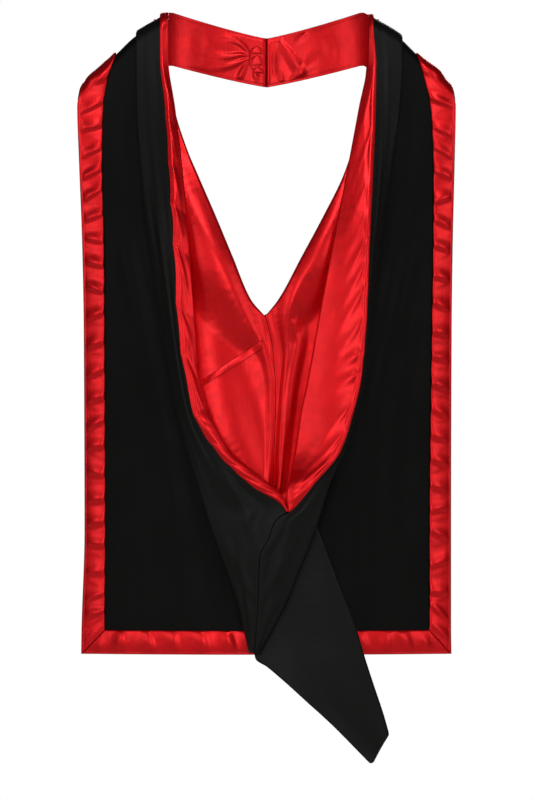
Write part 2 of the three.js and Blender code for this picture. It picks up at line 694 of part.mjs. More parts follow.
// Place on the neckband: `side` -1 or 1, `way` 0 at the middle to 1 at its end, `height` 0 to 1
function bandPoint(side, way, height, out) {
  const endX = halfWidth * bandEndAcross + bandOverlap;
  const angle = mix(0, Math.PI / 2, way);
  const x = Math.max(endX * Math.sin(angle), bandParting / 2);
  const behindCowl = cowlDepth * cowlLeftSections[0].foldOut;
  const bow = (1 - Math.min(x / endX, 1) ** bandSquareness) ** (1 / bandSquareness);
  const y = ridgeRadius + behindCowl + layerGap + bandReach * bow;
  const drop = 1 - Math.min(x / (halfWidth * bandSagAcross), 1) ** bandSagCurve;
  const top = ridgeHeight(Math.max(x, halfWidth * bandSagAcross)) + behindCowl
    - (bandSag + bandNarrowing / 2) * drop;
  const tall = shoulderRise - bandNarrowing * drop;
  return new THREE.Vector3(side * x, y - out * Math.cos(angle), top - tall * (1 - height));
}

function buildNeckband(name, side, gathered) {
  const steps = 14;
  const heights = 5;
  const rows = [];
  for (let level = heights; level >= 0; level -= 1) {
    const height = level / heights;
    const points = [];
    for (let step = 0; step <= steps; step += 1) {
      const way = side < 0 ? 1 - step / steps : step / steps;
      let out = 0;
      for (const gather of gathered ? bandGathers : []) {
        const ray = gather.height + gather.spread * way;
        const fading = 1 - easeIn(2 * way);
        out += bandGatherDepth * Math.exp(-(((height - ray) / gather.width) ** 2)) * fading;
      }
      points.push(bandPoint(side, way, height, out));
    }
    rows.push(points);
  }
  addSheet(name, rows, bandThickness, satin);
}

// Fastening loop of soft satin cord on the left half of the neckband
function buildLoop() {
  const centre = bandPoint(-1, loopPlace.way, loopPlace.height, 0);
  const stand = loopThickness / 2 + clearance + bandGatherDepth;
  const cord = new THREE.TorusGeometry(loopWidth / 2, loopThickness / 2, 6, 16);
  cord.scale(1, loopDrop / loopWidth, 1);
  cord.rotateX(Math.PI / 2);
  cord.translate(centre.x, centre.y - stand, centre.z);
  addPiece('band_loop', cord, satin);
}

// Tail: two layers of cloth that are one sheet folded along the tail's right edge
function buildTail() {
  const rowCount = 14;
  const layerSteps = 6;
  const lastSection = tailSections.length - 1;
  const keyed = tailSections.map((section, at) => ({ ...section, order: at / lastSection }));
  const { start, turn, fullFrom, fullSpan, waveShift } = tailLayers;
  const rows = [];
  for (let row = 0; row <= rowCount; row += 1) {
    const order = row / rowCount;
    const value = (column) => between(keyed, 'order', column, order);
    const left = new THREE.Vector2(value('left') * halfWidth, -value('leftDown') * capeDrop);
    const right = new THREE.Vector2(value('right') * halfWidth, -value('rightDown') * capeDrop);
    const stand = value('out') * cowlDepth;
    const point = (share, layer) => {
      const at = left.clone().lerp(right, share);
      const fullness = Math.sin(Math.PI * (fullFrom + fullSpan * share));
      const swell = mix(tailThickness + clearance, tailFullness / 2, fullness);
      const ripple = Math.sin(2 * Math.PI * share + waveShift * order) * easeIn(order * 2);
      const wave = tailWaveDepth * ripple;
      const y = drapeAt(at.x, Math.max(at.y, -capeDrop), 0).y - stand - layer * swell - wave;
      return new THREE.Vector3(at.x, y, at.y);
    };
    const section = [];
    for (let step = 0; step <= layerSteps; step += 1) {
      section.push(point(mix(start, turn, step / layerSteps), 1));
    }
    section.push(point(1, 0));
    for (let step = layerSteps; step >= 0; step -= 1) {
      section.push(point(mix(start, turn, step / layerSteps), -1));
    }
    rows.push(section);
  }
  addSheet('tail', rows, tailThickness, blackCloth);
}

buildCape();
buildSideBinding('binding_left', -1);
buildSideBinding('binding_right', 1);
buildHemBinding();
buildCowl('cowl_left', -1, cowlLeftSections);
buildCowl('cowl_right', 1, cowlRightSections);
buildFacing('facing_left', -1, cowlLeftSections);
buildFacing('facing_right', 1, cowlRightSections);
buildLining('lining_left', -1);
buildLining('lining_right', 1);
buildTape();
buildNeckband('neckband_left', -1, true);
buildNeckband('neckband_right', 1, false);
buildLoop();
buildTail();

export default hood;
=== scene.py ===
"""Academic hood as it hangs from the shoulders, seen from the wearer's back.

Metres, +Z up, the back of the hood looks to -Y. Every cloth is a fine grid that is laid over the
shoulders by the same few rules as the part's solids, then given its own folds and puckers.
"""
import math
import random

import bmesh
import bpy
from bpy.props import FloatProperty, FloatVectorProperty, PointerProperty
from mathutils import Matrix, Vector


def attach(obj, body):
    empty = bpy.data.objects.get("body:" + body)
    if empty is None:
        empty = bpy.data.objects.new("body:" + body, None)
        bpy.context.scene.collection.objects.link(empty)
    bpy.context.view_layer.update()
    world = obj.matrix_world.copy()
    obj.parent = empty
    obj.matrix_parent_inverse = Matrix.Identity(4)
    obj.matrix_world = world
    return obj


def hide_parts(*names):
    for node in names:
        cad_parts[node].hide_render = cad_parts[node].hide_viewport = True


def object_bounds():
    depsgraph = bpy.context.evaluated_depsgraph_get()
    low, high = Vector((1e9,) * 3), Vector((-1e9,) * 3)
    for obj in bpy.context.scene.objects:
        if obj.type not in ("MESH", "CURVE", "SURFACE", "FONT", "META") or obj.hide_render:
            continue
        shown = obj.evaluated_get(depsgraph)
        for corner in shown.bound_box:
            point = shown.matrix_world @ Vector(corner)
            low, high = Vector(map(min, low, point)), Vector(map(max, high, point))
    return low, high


bl_info = {
    "name": "Academic Hood",
    "version": (1, 0, 0),
    "blender": (4, 5, 0),
    "location": "3D View > Sidebar > Hood",
    "description": "Builds an academic hood of black cloth and red satin, with its light and camera",
    "category": "Object",
}

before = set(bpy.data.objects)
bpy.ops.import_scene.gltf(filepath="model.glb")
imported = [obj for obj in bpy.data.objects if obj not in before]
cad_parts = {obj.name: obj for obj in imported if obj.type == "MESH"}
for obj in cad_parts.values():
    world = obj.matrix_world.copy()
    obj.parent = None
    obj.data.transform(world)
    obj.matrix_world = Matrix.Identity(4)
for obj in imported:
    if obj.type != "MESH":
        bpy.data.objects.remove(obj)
cad_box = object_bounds()

MM = 0.001


# Reading the tables

class Table:
    """Named columns, read between their rows on a smooth curve that doesn't overshoot."""

    def __init__(self, names, rows):
        self.names = names.split()
        self.rows = rows
        self.keys = [row[0] for row in rows]
        self.values = {name: [row[at] for row in rows] for at, name in enumerate(self.names)}
        self.tangents = {name: self.tangent(values) for name, values in self.values.items()}

    def tangent(self, values):
        keys = self.keys
        slopes = [
            (values[at + 1] - values[at]) / (keys[at + 1] - keys[at] or 1.0)
            for at in range(len(keys) - 1)
        ]
        inner = [
            2 * a * b / (a + b) if a * b > 0 else 0.0
            for a, b in zip(slopes, slopes[1:])
        ]
        return slopes[:1] + inner + slopes[-1:]

    def at(self, name, key):
        keys, values, tangents = self.keys, self.values[name], self.tangents[name]
        if key <= keys[0]:
            return values[0]
        if key >= keys[-1]:
            return values[-1]
        row = 0
        while key > keys[row + 1]:
            row += 1
        step = keys[row + 1] - keys[row]
        t = (key - keys[row]) / step
        start = values[row] * (1 + 2 * t) * (1 - t) ** 2 + tangents[row] * step * t * (1 - t) ** 2
        return start + (values[row + 1] * t * t * (3 - 2 * t)
                        - tangents[row + 1] * step * t * t * (1 - t))


def mix(a, b, share):
    return a + (b - a) * share


def clamp(value, low=0.0, high=1.0):
    return min(max(value, low), high)


def ease(share):
    share = clamp(share)
    return share * share * (3 - 2 * share)


def bump(distance, width):
    """1 on a line, falling softly to 0 at about twice the width from it."""
    return math.exp(-(distance / width) ** 2)


# Form of the hood, in shares of its half width, its drop and the cowl's depth

RIDGE = Table("across rise", [
    (0.52, 0.0385),
    (0.6, 0.0241),
    (0.7, 0.0055),
    (0.8, -0.0235),
    (0.984, -0.0763),
    (1.05, -0.095),
])
FRONT_EDGE = Table("across fall", [
    (0.56, 1),
    (0.7, 0.88),
    (0.84, 0.68),
    (0.95, 0.42),
    (0.984, 0.3),
])
SIDE_EDGES = Table("down left_inner right_inner left_outer right_outer", [
    (0.0235, -0.8, 0.8, -0.95, 0.95),
    (0.05, -0.842, 0.835, -0.965, 0.965),
    (0.076, -0.861, 0.862, -0.984, 0.984),
    (0.101, -0.87, 0.876, -1.006, 1.006),
    (0.2, -0.874, 0.888, -0.996, 1.0),
    (0.33, -0.865, 0.886, -0.98, 0.99),
    (0.47, -0.861, 0.879, -0.971, 0.984),
    (0.8, -0.858, 0.867, -0.967, 0.981),
    (0.96, -0.861, 0.867, -0.983, 0.981),
    (1, -0.861, 0.865, -0.985, 0.983),
])
NECK_EDGE = Table("down left right", [
    (-0.04, -0.545, 0.55),
    (0.042, -0.522, 0.53),
    (0.114, -0.486, 0.504),
    (0.179, -0.42, 0.453),
    (0.222, -0.361, 0.406),
    (0.287, -0.269, 0.302),
    (0.354, -0.178, 0.185),
    (0.424, -0.081, 0.061),
    (0.449, -0.012, -0.004),
])
LINING_SEAM = Table("down across", [
    (0.449, -0.008),
    (0.504, 0.033),
    (0.582, 0.048),
    (0.728, 0.033),
    (0.8, 0.02),
])
CAPE_FOLDS = Table("shoulder hem width depth", [
    (-0.76, -0.7, 0.17, 4),
    (0.78, 0.68, 0.17, 4),
    (0.45, 0.3, 0.2, 4),
    (-0.4, -0.3, 0.2, 4),
])
LINING_FOLDS = Table("neck tip width depth", [
    (-0.5, -0.02, 0.1, 2.5),
    (0.12, 0.09, 0.07, 3),
])
COWL_LEFT = Table("down edge edge_out fold fold_out seat seat_out", [
    (-0.04, -0.56, 0.1, -0.69, 0.1, -0.64, 0),
    (0.033, -0.559, 0.17, -0.69, 0.13, -0.64, 0),
    (0.114, -0.538, 0.3, -0.686, 0.2, -0.635, 0),
    (0.212, -0.517, 0.46, -0.663, 0.28, -0.61, 0),
    (0.341, -0.488, 0.66, -0.618, 0.38, -0.565, 0),
    (0.455, -0.469, 0.79, -0.555, 0.46, -0.505, 0),
    (0.554, -0.424, 0.88, -0.503, 0.54, -0.455, 0),
    (0.612, -0.378, 0.92, -0.466, 0.58, -0.415, 0),
    (0.669, -0.264, 0.96, -0.415, 0.62, -0.36, 0),
    (0.721, -0.093, 1, -0.363, 0.65, -0.31, 0),
    (0.768, 0.108, 1, -0.314, 0.65, -0.265, 0),
    (0.773, 0.08, 1, -0.31, 0.65, -0.261, 0),
    (0.785, 0.042, 1, -0.298, 0.64, -0.25, 0),
    (0.81, 0.012, 0.99, -0.268, 0.63, -0.22, 0),
    (0.841, -0.036, 0.95, -0.232, 0.6, -0.185, 0),
    (0.913, -0.046, 0.8, -0.151, 0.54, -0.118, 0.04),
    (0.996, -0.062, 0.6, -0.09, 0.48, -0.084, 0.12),
])
COWL_RIGHT = Table("down edge edge_out fold fold_out seat seat_out", [
    (-0.04, 0.565, 0.1, 0.719, 0.1, 0.66, 0),
    (0.033, 0.579, 0.17, 0.719, 0.13, 0.66, 0),
    (0.114, 0.575, 0.3, 0.703, 0.2, 0.65, 0),
    (0.212, 0.561, 0.46, 0.659, 0.28, 0.605, 0),
    (0.341, 0.541, 0.66, 0.596, 0.42, 0.545, 0),
    (0.455, 0.526, 0.79, 0.553, 0.56, 0.505, 0),
    (0.554, 0.496, 0.88, 0.519, 0.66, 0.475, 0),
    (0.612, 0.451, 0.92, 0.475, 0.7, 0.435, 0),
    (0.669, 0.388, 0.96, 0.412, 0.74, 0.37, 0.05),
    (0.721, 0.251, 1, 0.334, 0.76, 0.29, 0.16),
    (0.768, 0.115, 1, 0.285, 0.76, 0.245, 0.24),
    (0.773, 0.084, 1, 0.28, 0.76, 0.241, 0.24),
    (0.785, 0.042, 1, 0.268, 0.76, 0.23, 0.24),
    (0.81, 0.012, 0.99, 0.237, 0.75, 0.2, 0.24),
    (0.841, -0.036, 0.95, 0.195, 0.74, 0.16, 0.25),
    (0.913, -0.046, 0.8, 0.101, 0.66, 0.072, 0.275),
    (0.996, -0.062, 0.6, -0.04, 0.56, -0.048, 0.275),
])
FACINGS = Table("down left left_out right right_out", [
    (-0.04, -0.525, 0.1, 0.545, 0.1),
    (0.033, -0.524, 0.13, 0.54, 0.12),
    (0.114, -0.488, 0.2, 0.492, 0.2),
    (0.212, -0.449, 0.33, 0.432, 0.28),
    (0.341, -0.413, 0.5, 0.351, 0.34),
    (0.455, -0.385, 0.62, 0.28, 0.38),
    (0.554, -0.355, 0.7, 0.221, 0.42),
    (0.612, -0.297, 0.74, 0.182, 0.46),
    (0.669, -0.2, 0.82, 0.156, 0.54),
    (0.721, 0, 0.9, 0.121, 0.74),
    (0.745, 0.088, 0.92, 0.11, 0.86),
    (0.76, 0.1, 0.94, 0.114, 0.94),
    (0.768, 0.107, 0.96, 0.116, 0.96),
])
LININGS = Table("down left right", [
    (0.042, -0.55, 0.56),
    (0.114, -0.53, 0.545),
    (0.212, -0.5, 0.5),
    (0.341, -0.46, 0.43),
    (0.455, -0.43, 0.36),
    (0.554, -0.39, 0.3),
    (0.669, -0.29, 0.23),
    (0.77, -0.157, 0.13),
])
TAIL = Table("left left_down right right_down out", [
    (-0.02, 0.89, 0.21, 0.742, 0.17),
    (-0.075, 0.965, 0.305, 0.818, 0.19),
    (-0.064, 1.006, 0.39, 0.887, 0.21),
    (0.002, 1.021, 0.464, 0.945, 0.23),
    (0.092, 1.044, 0.52, 1.003, 0.26),
    (0.209, 1.076, 0.571, 1.051, 0.28),
    (0.337, 1.111, 0.619, 1.095, 0.27),
    (0.557, 1.179, 0.65, 1.128, 0.25),
])
RIDGE_DOWN = -RIDGE.rows[0][1]
NECK_POINT = NECK_EDGE.keys[-1]
# Ways down, as shares of the drop: where the back's bulge and its folds are full, and where the
# rows of the cowl run level
FULL_BULGE, FULL_FOLDS, COWL_LEVEL = 0.42, 0.25, 0.05


# Sizes and colours

def length(name, description, default):
    return FloatProperty(
        name=name, description=description, default=default, min=0.0, precision=4, unit="LENGTH")


def colour(name, description, hex_value):
    return FloatVectorProperty(
        name=name, description=description, default=linear(hex_value), size=3,
        min=0.0, max=1.0, subtype="COLOR")


def linear(hex_value):
    """An sRGB hex value as linear red, green and blue."""
    parts = [int(hex_value[at:at + 2], 16) / 255 for at in (1, 3, 5)]
    return tuple(
        part / 12.92 if part <= 0.04045 else ((part + 0.055) / 1.055) ** 2.4 for part in parts)


class HoodSizes(bpy.types.PropertyGroup):
    """Sizes of the hood."""
    half_width: length("Half width", "Centre line to the shoulder corner", 0.235)
    cape_drop: length("Cape drop", "Shoulder level down to the hem", 0.767)
    shoulder_rise: length("Band height", "Height of the neckband at its ends", 0.067)
    ridge_radius: length("Shoulder roundness", "Cloth's bend over the shoulder", 0.014)
    back_depth: length("Back depth", "Middle of the cape behind the shoulders", 0.062)
    shoulder_return: length("Front return", "Cloth in front of the shoulder, at the neck", 0.082)
    cowl_depth: length("Cowl depth", "Cape to the front of the cowl at its tip", 0.048)
    band_reach: length("Band reach", "Neckband in front of the shoulders", 0.075)
    band_sag: length("Band sag", "Middle of the neckband below its ends", 0.029)
    band_narrowing: length("Band narrowing", "Ends of the neckband wider than its middle", 0.0053)
    band_overlap: length("Band overlap", "End of the neckband behind the cowl", 0.014)
    band_parting: length("Band parting", "Slit between the neckband's halves", 0.0022)
    cape_cloth: length("Black cloth", "Thickness of the black cloth", 0.0016)
    satin_cloth: length("Satin", "Thickness of the satin with its backing", 0.0012)
    band_cloth: length("Neckband", "Thickness of the neckband", 0.0024)
    tail_cloth: length("Tail cloth", "Thickness of each layer of the tail", 0.0015)
    tail_fullness: length("Tail fullness", "Tail's upper layer to its lower one", 0.007)
    roll_height: length("Roll height", "Rolled edge above the cloth", 0.0022)
    binding_width: length("Binding width", "Width of the bindings", 0.03)
    binding_puff: length("Binding puff", "Rise of the bindings between their seams", 0.0011)
    pucker: length("Pucker", "Height of the bindings' puckers", 0.0038)
    tape_width: length("Tape width", "Width of the tape across the lining", 0.01)
    layer_gap: length("Layer gap", "Between cloths that lie on each other", 0.0009)
    seam_gap: length("Seam gap", "Each half of the cowl to their seam", 0.00035)
    neck_tuck: length("Neck tuck", "Cape's neck edge behind the lining's", 0.004)


class HoodColours(bpy.types.PropertyGroup):
    """Colours of the hood's cloths."""
    satin: colour("Satin", "Red satin in even light", "#D8040F")
    # Painted shade: the satin's colour as it looks in the shade of its deepest folds, blended into the
    # satin and the thread
    satin_painted_shade: colour("Deep satin", "Red satin where its folds are deepest", "#900009")
    thread: colour("Thread", "Sewing thread of the satin", "#A80A16")
    cloth: colour("Black cloth", "Black cloth of the cape, cowl and tail", "#0C0D0B")
    cloth_deep: colour("Deep black", "Black cloth between its threads", "#030303")


# The form that everything hangs in

class Drape:
    """Places points on the cloth that lies over the shoulders and hangs down the back."""

    def __init__(self, sizes):
        for name in HoodSizes.__annotations__:
            setattr(self, name, getattr(sizes, name))
        self.half = self.half_width
        self.drop = self.cape_drop
        self.radius = self.ridge_radius

    def ridge(self, x):
        """Height of the shoulder ridge."""
        return RIDGE.at("rise", abs(x) / self.half) * self.drop

    def rise(self, x):
        """Rise of a cloth that stands 1 off the slanting ridge."""
        slope = (self.ridge(x + MM) - self.ridge(x - MM)) / (2 * MM)
        return math.sqrt(1 + slope ** 2)

    def folds(self, table, x, share):
        """Height of a table's long soft folds: start, end, width and height of each."""
        total = 0.0
        for start, end, width, height in table.rows:
            middle = mix(start, end, share) * self.half
            total += height * MM * bump(x - middle, width * self.half)
        return total

    def point(self, x, fall, out):
        """`fall` is the way down from the ridge, behind it or (below 0) in front of it."""
        way = abs(fall)
        upright = max(1 - way / self.radius, 0.0)
        around = (self.radius + out) * math.sqrt(1 - upright ** 2)
        z = self.ridge(x) - way + out * upright * self.rise(x)
        if fall < 0:
            return Vector((x, around, z))
        share = clamp(way / self.drop)
        bulge = self.back_depth * max(1 - (x / self.half) ** 2, 0.0) * ease(share / FULL_BULGE)
        folds = self.folds(CAPE_FOLDS, x, share) * ease(share / FULL_FOLDS)
        return Vector((x, -around - bulge - folds, z))

    def at(self, x, z, out):
        """The same point, found by its height."""
        below = self.ridge(x) - z
        lift = out * self.rise(x)
        fall = (below + lift) / (1 + lift / self.radius) if below < self.radius else below
        return self.point(x, max(fall, 0.0), out)

    def row_height(self, x, down, level_from):
        lift = clamp((level_from - down) / (level_from - RIDGE_DOWN))
        return -down * self.drop + lift * (self.ridge(x) - self.radius + RIDGE_DOWN * self.drop)

    def hang(self, x, row, out, level_from, trim=0.0):
        kind, value = row
        if kind == "front":
            reach = FRONT_EDGE.at("fall", abs(x) / self.half) * self.shoulder_return
            return self.point(x, -(reach - trim) * value, out)
        if kind == "round":
            return self.point(x, self.radius * (1 - math.cos(math.radians(value))), out)
        return self.at(x, self.row_height(x, value, level_from), out)


def row_down(row):
    return row[1] if row[0] == "down" else RIDGE_DOWN


def shoulder_rows(front, front_steps=14, round_steps=9):
    """Rows from the front edge up to the shoulder's ridge and round it."""
    rows = [("front", front * (1 - step / front_steps)) for step in range(front_steps)]
    return rows + [("round", 90.0 * step / round_steps) for step in range(round_steps)]


def down_rows(first, last, steps):
    return [("down", mix(first, last, step / steps)) for step in range(steps + 1)]


def spaced(count, margin):
    """Places from 0 to 1 with a narrow step of `margin` at both ends."""
    inner = [mix(margin, 1 - margin, at / (count - 2)) for at in range(count - 1)]
    return [0.0] + inner + [1.0]


# Cloth meshes

def fill_grid(bm, points):
    """Adds one grid whose vertices go to the given rows of points, with its size in metres as UV."""
    rows, columns = len(points) - 1, len(points[0]) - 1
    uv_layer = bm.loops.layers.uv.get("cloth") or bm.loops.layers.uv.new("cloth")
    made = bmesh.ops.create_grid(bm, x_segments=columns, y_segments=rows, size=0.5)["verts"]
    across = []
    for line in points:
        lengths = [0.0]
        for a, b in zip(line, line[1:]):
            lengths.append(lengths[-1] + (b - a).length)
        across.append([value - lengths[columns // 2] for value in lengths])
    along = [0.0]
    for a, b in zip(points, points[1:]):
        along.append(along[-1] + (b[columns // 2] - a[columns // 2]).length)
    place = {}
    for vertex in made:
        column = round((vertex.co.x + 0.5) * columns)
        row = round((0.5 - vertex.co.y) * rows)
        place[vertex] = (across[row][column], -along[row])
        vertex.co = points[row][column]
    faces = {face for vertex in made for face in vertex.link_faces}
    for face in faces:
        face.smooth = True
        for loop in face.loops:
            loop[uv_layer].uv = place[loop.vert]


def add_object(name, data):
    made = bpy.data.objects.new(name, data)
    bpy.context.scene.collection.objects.link(made)
    return made


def finish_piece(name, bm, material, thickness=0.0, nodes=(), merge=0.0):
    """Turns a bmesh into a named piece that rides on the hood's body."""
    if merge:
        bmesh.ops.remove_doubles(bm, verts=bm.verts, dist=merge)
    mesh = bpy.data.meshes.new(name)
    bm.to_mesh(mesh)
    bm.free()
    mesh.materials.append(material)
    piece = add_object(name, mesh)
    if thickness:
        wall = piece.modifiers.new("Thickness", "SOLIDIFY")
        wall.thickness = thickness
        wall.offset = -1.0
    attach(piece, "root")
    if nodes:
        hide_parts(*nodes)
    return piece


def cloth_piece(node, grids, material, thickness):
    """The cloth of one node of the part: its grids joined where they meet, and given a thickness."""
    bm = bmesh.new()
    for grid in grids:
        fill_grid(bm, grid)
    return finish_piece("hood_" + node, bm, material, thickness, [node], merge=1e-5)


# Materials

def add_node(tree, kind, settings=None, links=None):
    """Adds a node. Settings are its properties or its inputs' values, links its inputs' sources."""
    made = tree.nodes.new(kind)
    for name, value in (settings or {}).items():
        if isinstance(name, str) and hasattr(made, name):
            setattr(made, name, value)
        else:
            made.inputs[name].default_value = value
    for name, source in (links or {}).items():
        tree.links.new(source, made.inputs[name])
    return made


def start_material(name):
    material = bpy.data.materials.get(name)
    if material:
        return material, None
    material = bpy.data.materials.new(name)
    material.use_nodes = True
    material.node_tree.nodes.clear()
    return material, material.node_tree


def rgba(value):
    return (*value, 1.0)


def add_noise(tree, size, detail, roughness, place):
    """Noise whose patches are about `size` metres wide."""
    return add_node(tree, "ShaderNodeTexNoise", {
        "Scale": 1 / size, "Detail": detail, "Roughness": roughness},
        {"Vector": place}).outputs["Fac"]


def add_ribs(tree, pitch, direction, distortion, detail_scale, cloth):
    """Threads or ribs `pitch` metres apart. The wave texture has 20 bands in each metre."""
    return add_node(tree, "ShaderNodeTexWave", {
        "wave_type": "BANDS", "bands_direction": direction, "Scale": 1 / (20 * pitch),
        "Distortion": distortion, "Detail": 2.0, "Detail Scale": detail_scale},
        {"Vector": cloth}).outputs["Fac"]


def add_range(tree, value, low, high, to_low, to_high):
    return add_node(tree, "ShaderNodeMapRange", {
        "From Min": low, "From Max": high, "To Min": to_low, "To Max": to_high},
        {"Value": value}).outputs["Result"]


def add_blend(tree, share, start, end):
    return add_node(tree, "ShaderNodeMix", {
        "data_type": "RGBA", 6: rgba(start), 7: rgba(end)}, {0: share}).outputs[2]


def add_bump(tree, height, strength, distance, under=None):
    """A relief `distance` metres high, on top of the relief `under` it."""
    links = {"Height": height}
    if under is not None:
        links["Normal"] = under
    return add_node(tree, "ShaderNodeBump", {
        "Strength": strength, "Distance": distance}, links).outputs["Normal"]


def add_shader(tree, settings, links):
    shader = add_node(tree, "ShaderNodeBsdfPrincipled", settings, links)
    add_node(tree, "ShaderNodeOutputMaterial", None, {"Surface": shader.outputs["BSDF"]})


def coordinates(tree):
    """The cloth's own lengths and the places in the piece, both in metres."""
    return (add_node(tree, "ShaderNodeUVMap", {"uv_map": "cloth"}).outputs["UV"],
            add_node(tree, "ShaderNodeTexCoord").outputs["Object"])


def satin_material():
    """Satin: long floating threads give broad bright bands and deep red between them, with painted shade in
    patches of its ripples.
    """
    material, tree = start_material("red polyester satin, woven")
    if not tree:
        return material
    colours = bpy.context.scene.hood_colours
    cloth, place = coordinates(tree)
    # Threads 0.1 mm apart are drawn 0.9 mm apart, so that they show
    threads = add_ribs(tree, 0.0009, "X", 1.2, 1.5, cloth)
    # Slack cloth ripples softly, about 30 mm from crest to crest, and creases about every 8 mm
    ripples = add_noise(tree, 0.03, 2.0, 0.45, place)
    creases = add_noise(tree, 0.008, 1.0, 0.4, place)
    # Painted shade: where the ripple noise is high the colour is blended up to 16 % towards the satin's
    # shade colour
    tone = add_range(tree, ripples, 0.3, 0.7, 0.0, 0.16)
    fine = add_bump(tree, threads, 0.35, 0.00006)
    small = add_bump(tree, creases, 0.3, 0.0005, fine)
    grain = add_node(tree, "ShaderNodeTangent", {"direction_type": "UV_MAP", "uv_map": "cloth"})
    add_shader(tree, {
        "Metallic": 0.78, "Anisotropic": 0.3, "Specular IOR Level": 0.5,
        "Coat Weight": 0.12, "Coat Roughness": 0.3},
        {"Base Color": add_blend(tree, tone, colours.satin, colours.satin_painted_shade),
         "Roughness": add_range(tree, creases, 0.25, 0.75, 0.38, 0.44),
         "Normal": add_bump(tree, ripples, 0.6, 0.002, small),
         "Tangent": grain.outputs["Tangent"]})
    return material


def black_material(name="black polyester cloth, twill woven", gloss=0.06):
    """Matt black twill: fine slanting ribs and a faint soft sheen at grazing angles."""
    material, tree = start_material(name)
    if not tree:
        return material
    colours = bpy.context.scene.hood_colours
    cloth, place = coordinates(tree)
    # Twill ribs 0.5 mm apart are drawn 1.2 mm apart, so that they show
    ribs = add_ribs(tree, 0.0012, "DIAGONAL", 0.8, 2.0, cloth)
    fuzz = add_noise(tree, 0.0015, 4.0, 0.6, place)
    wear = add_noise(tree, 0.06, 2.0, 0.5, place)
    tone = add_node(tree, "ShaderNodeMath", {"operation": "MULTIPLY", 1: 0.8}, {0: fuzz})
    fine = add_bump(tree, ribs, 0.5, 0.00015)
    add_shader(tree, {
        "Metallic": 0.0, "Specular IOR Level": gloss, "Sheen Weight": 0.01, "Sheen Roughness": 0.5},
        {"Base Color": add_blend(tree, tone.outputs["Value"], colours.cloth, colours.cloth_deep),
         "Roughness": add_range(tree, wear, 0.3, 0.7, 0.46, 0.56),
         "Normal": add_bump(tree, fuzz, 0.3, 0.0002, fine)})
    return material


def pressed_black():
    """The same cloth in the cowl and the tail, where it is stiffened and pressed smooth."""
    return black_material("black polyester cloth, twill woven, pressed", 0.14)


def thread_material():
    """Sewing thread: a little darker than the satin, with the sheen of its twist and painted shade between
    its turns.
    """
    material, tree = start_material("red polyester thread, twisted")
    if not tree:
        return material
    colours = bpy.context.scene.hood_colours
    place = add_node(tree, "ShaderNodeTexCoord").outputs["Object"]
    twist = add_noise(tree, 0.0004, 2.0, 0.5, place)
    # Painted shade: the twist's noise blends the thread towards the satin's shade colour
    add_shader(tree, {"Metallic": 0.2, "Roughness": 0.5, "Specular IOR Level": 0.4},
               {"Base Color": add_blend(tree, twist, colours.thread, colours.satin_painted_shade),
                "Normal": add_bump(tree, twist, 0.5, 0.0001)})
    return material


# Cape and bindings

SIDES = {-1: "left", 1: "right"}
SHOULDER = {"inner": RIDGE.rows[3][0], "outer": RIDGE.rows[4][0]}


def side_at(d, side, name, z):
    """A side edge of the cape or the inner edge of its binding, at a height."""
    return SIDE_EDGES.at(f"{SIDES[side]}_{name}", -z / d.drop) * d.half


def edge_at(d, side, name, row):
    """The same edges in a row, also over the shoulder, where they ease out to the back's edge."""
    start = side * SHOULDER[name] * d.half
    if row[0] == "front":
        return start
    down = row_down(row)
    place = side_at(d, side, name, d.row_height(start, down, NECK_POINT))
    if row[0] == "down":
        return place
    angle = math.radians(row[1])
    return mix(start, place, math.sin(angle) if name == "outer" else 1 - math.cos(angle))


# Creases are lines across the cloth, seen from behind the wearer: each point gives its place
# across and up in millimetres, its widths to the left and right of the way it runs, and its height

class Creases:
    """Folds that follow lines across a cloth."""

    def __init__(self, paths):
        self.segments = []
        for path in paths:
            way = self.rounded(path)
            self.segments.append(list(zip(way, way[1:])))

    @staticmethod
    def rounded(path, steps=4):
        """The path with its bends rounded by points between its own."""
        ends = [path[0], *path, path[-1]]
        way = [path[0]]
        for before, start, end, after in zip(ends, ends[1:], ends[2:], ends[3:]):
            for step in range(1, steps + 1):
                t = step / steps
                way.append(tuple(
                    0.5 * (2 * b + (c - a) * t + (2 * a - 5 * b + 4 * c - d) * t ** 2
                           + (3 * b - a - 3 * c + d) * t ** 3)
                    for a, b, c, d in zip(before, start, end, after)))
        return way

    def height(self, x, z):
        x, z = x / MM, z / MM
        total = 0.0
        for chain in self.segments:
            best = 0.0
            for (x0, z0, l0, r0, h0), (x1, z1, l1, r1, h1) in chain:
                dx, dz = x1 - x0, z1 - z0
                share = clamp(((x - x0) * dx + (z - z0) * dz) / (dx * dx + dz * dz))
                ox, oz = x - x0 - share * dx, z - z0 - share * dz
                left = dx * oz - dz * ox > 0
                width = mix(l0, l1, share) if left else mix(r0, r1, share)
                reach = math.hypot(ox, oz) / (1.7 * width)
                value = mix(h0, h1, share) * ease(1 - reach)
                if abs(value) > abs(best):
                    best = value
            total += best
        return total * MM


# Soft hollows of the cape beside the cowl
CAPE_CREASES = {
    -1: Creases([
        [(-176, -50, 10, 12, -1), (-168, -150, 13, 15, -4), (-153, -260, 14, 16, -6),
         (-134, -360, 15, 16, -6), (-110, -470, 16, 16, -6), (-92, -570, 18, 18, -6),
         (-74, -680, 18, 20, -4), (-60, -745, 16, 20, -1)],
        [(-198, -190, 10, 10, 0), (-186, -290, 14, 14, -3), (-168, -390, 16, 16, -4),
         (-150, -500, 18, 18, -4), (-138, -620, 18, 18, -3), (-130, -740, 14, 14, 0)],
    ]),
    1: Creases([
        [(180, -50, 12, 10, -1), (170, -150, 15, 13, -4), (158, -250, 16, 14, -6),
         (142, -350, 16, 15, -5), (122, -450, 18, 16, -5), (112, -600, 18, 18, -4),
         (108, -740, 14, 14, 0)],
        [(197, -230, 10, 10, 0), (184, -330, 14, 14, -3), (166, -420, 16, 16, -4),
         (152, -520, 18, 18, -4), (150, -640, 16, 16, -2), (150, -740, 12, 12, 0)],
    ]),
}


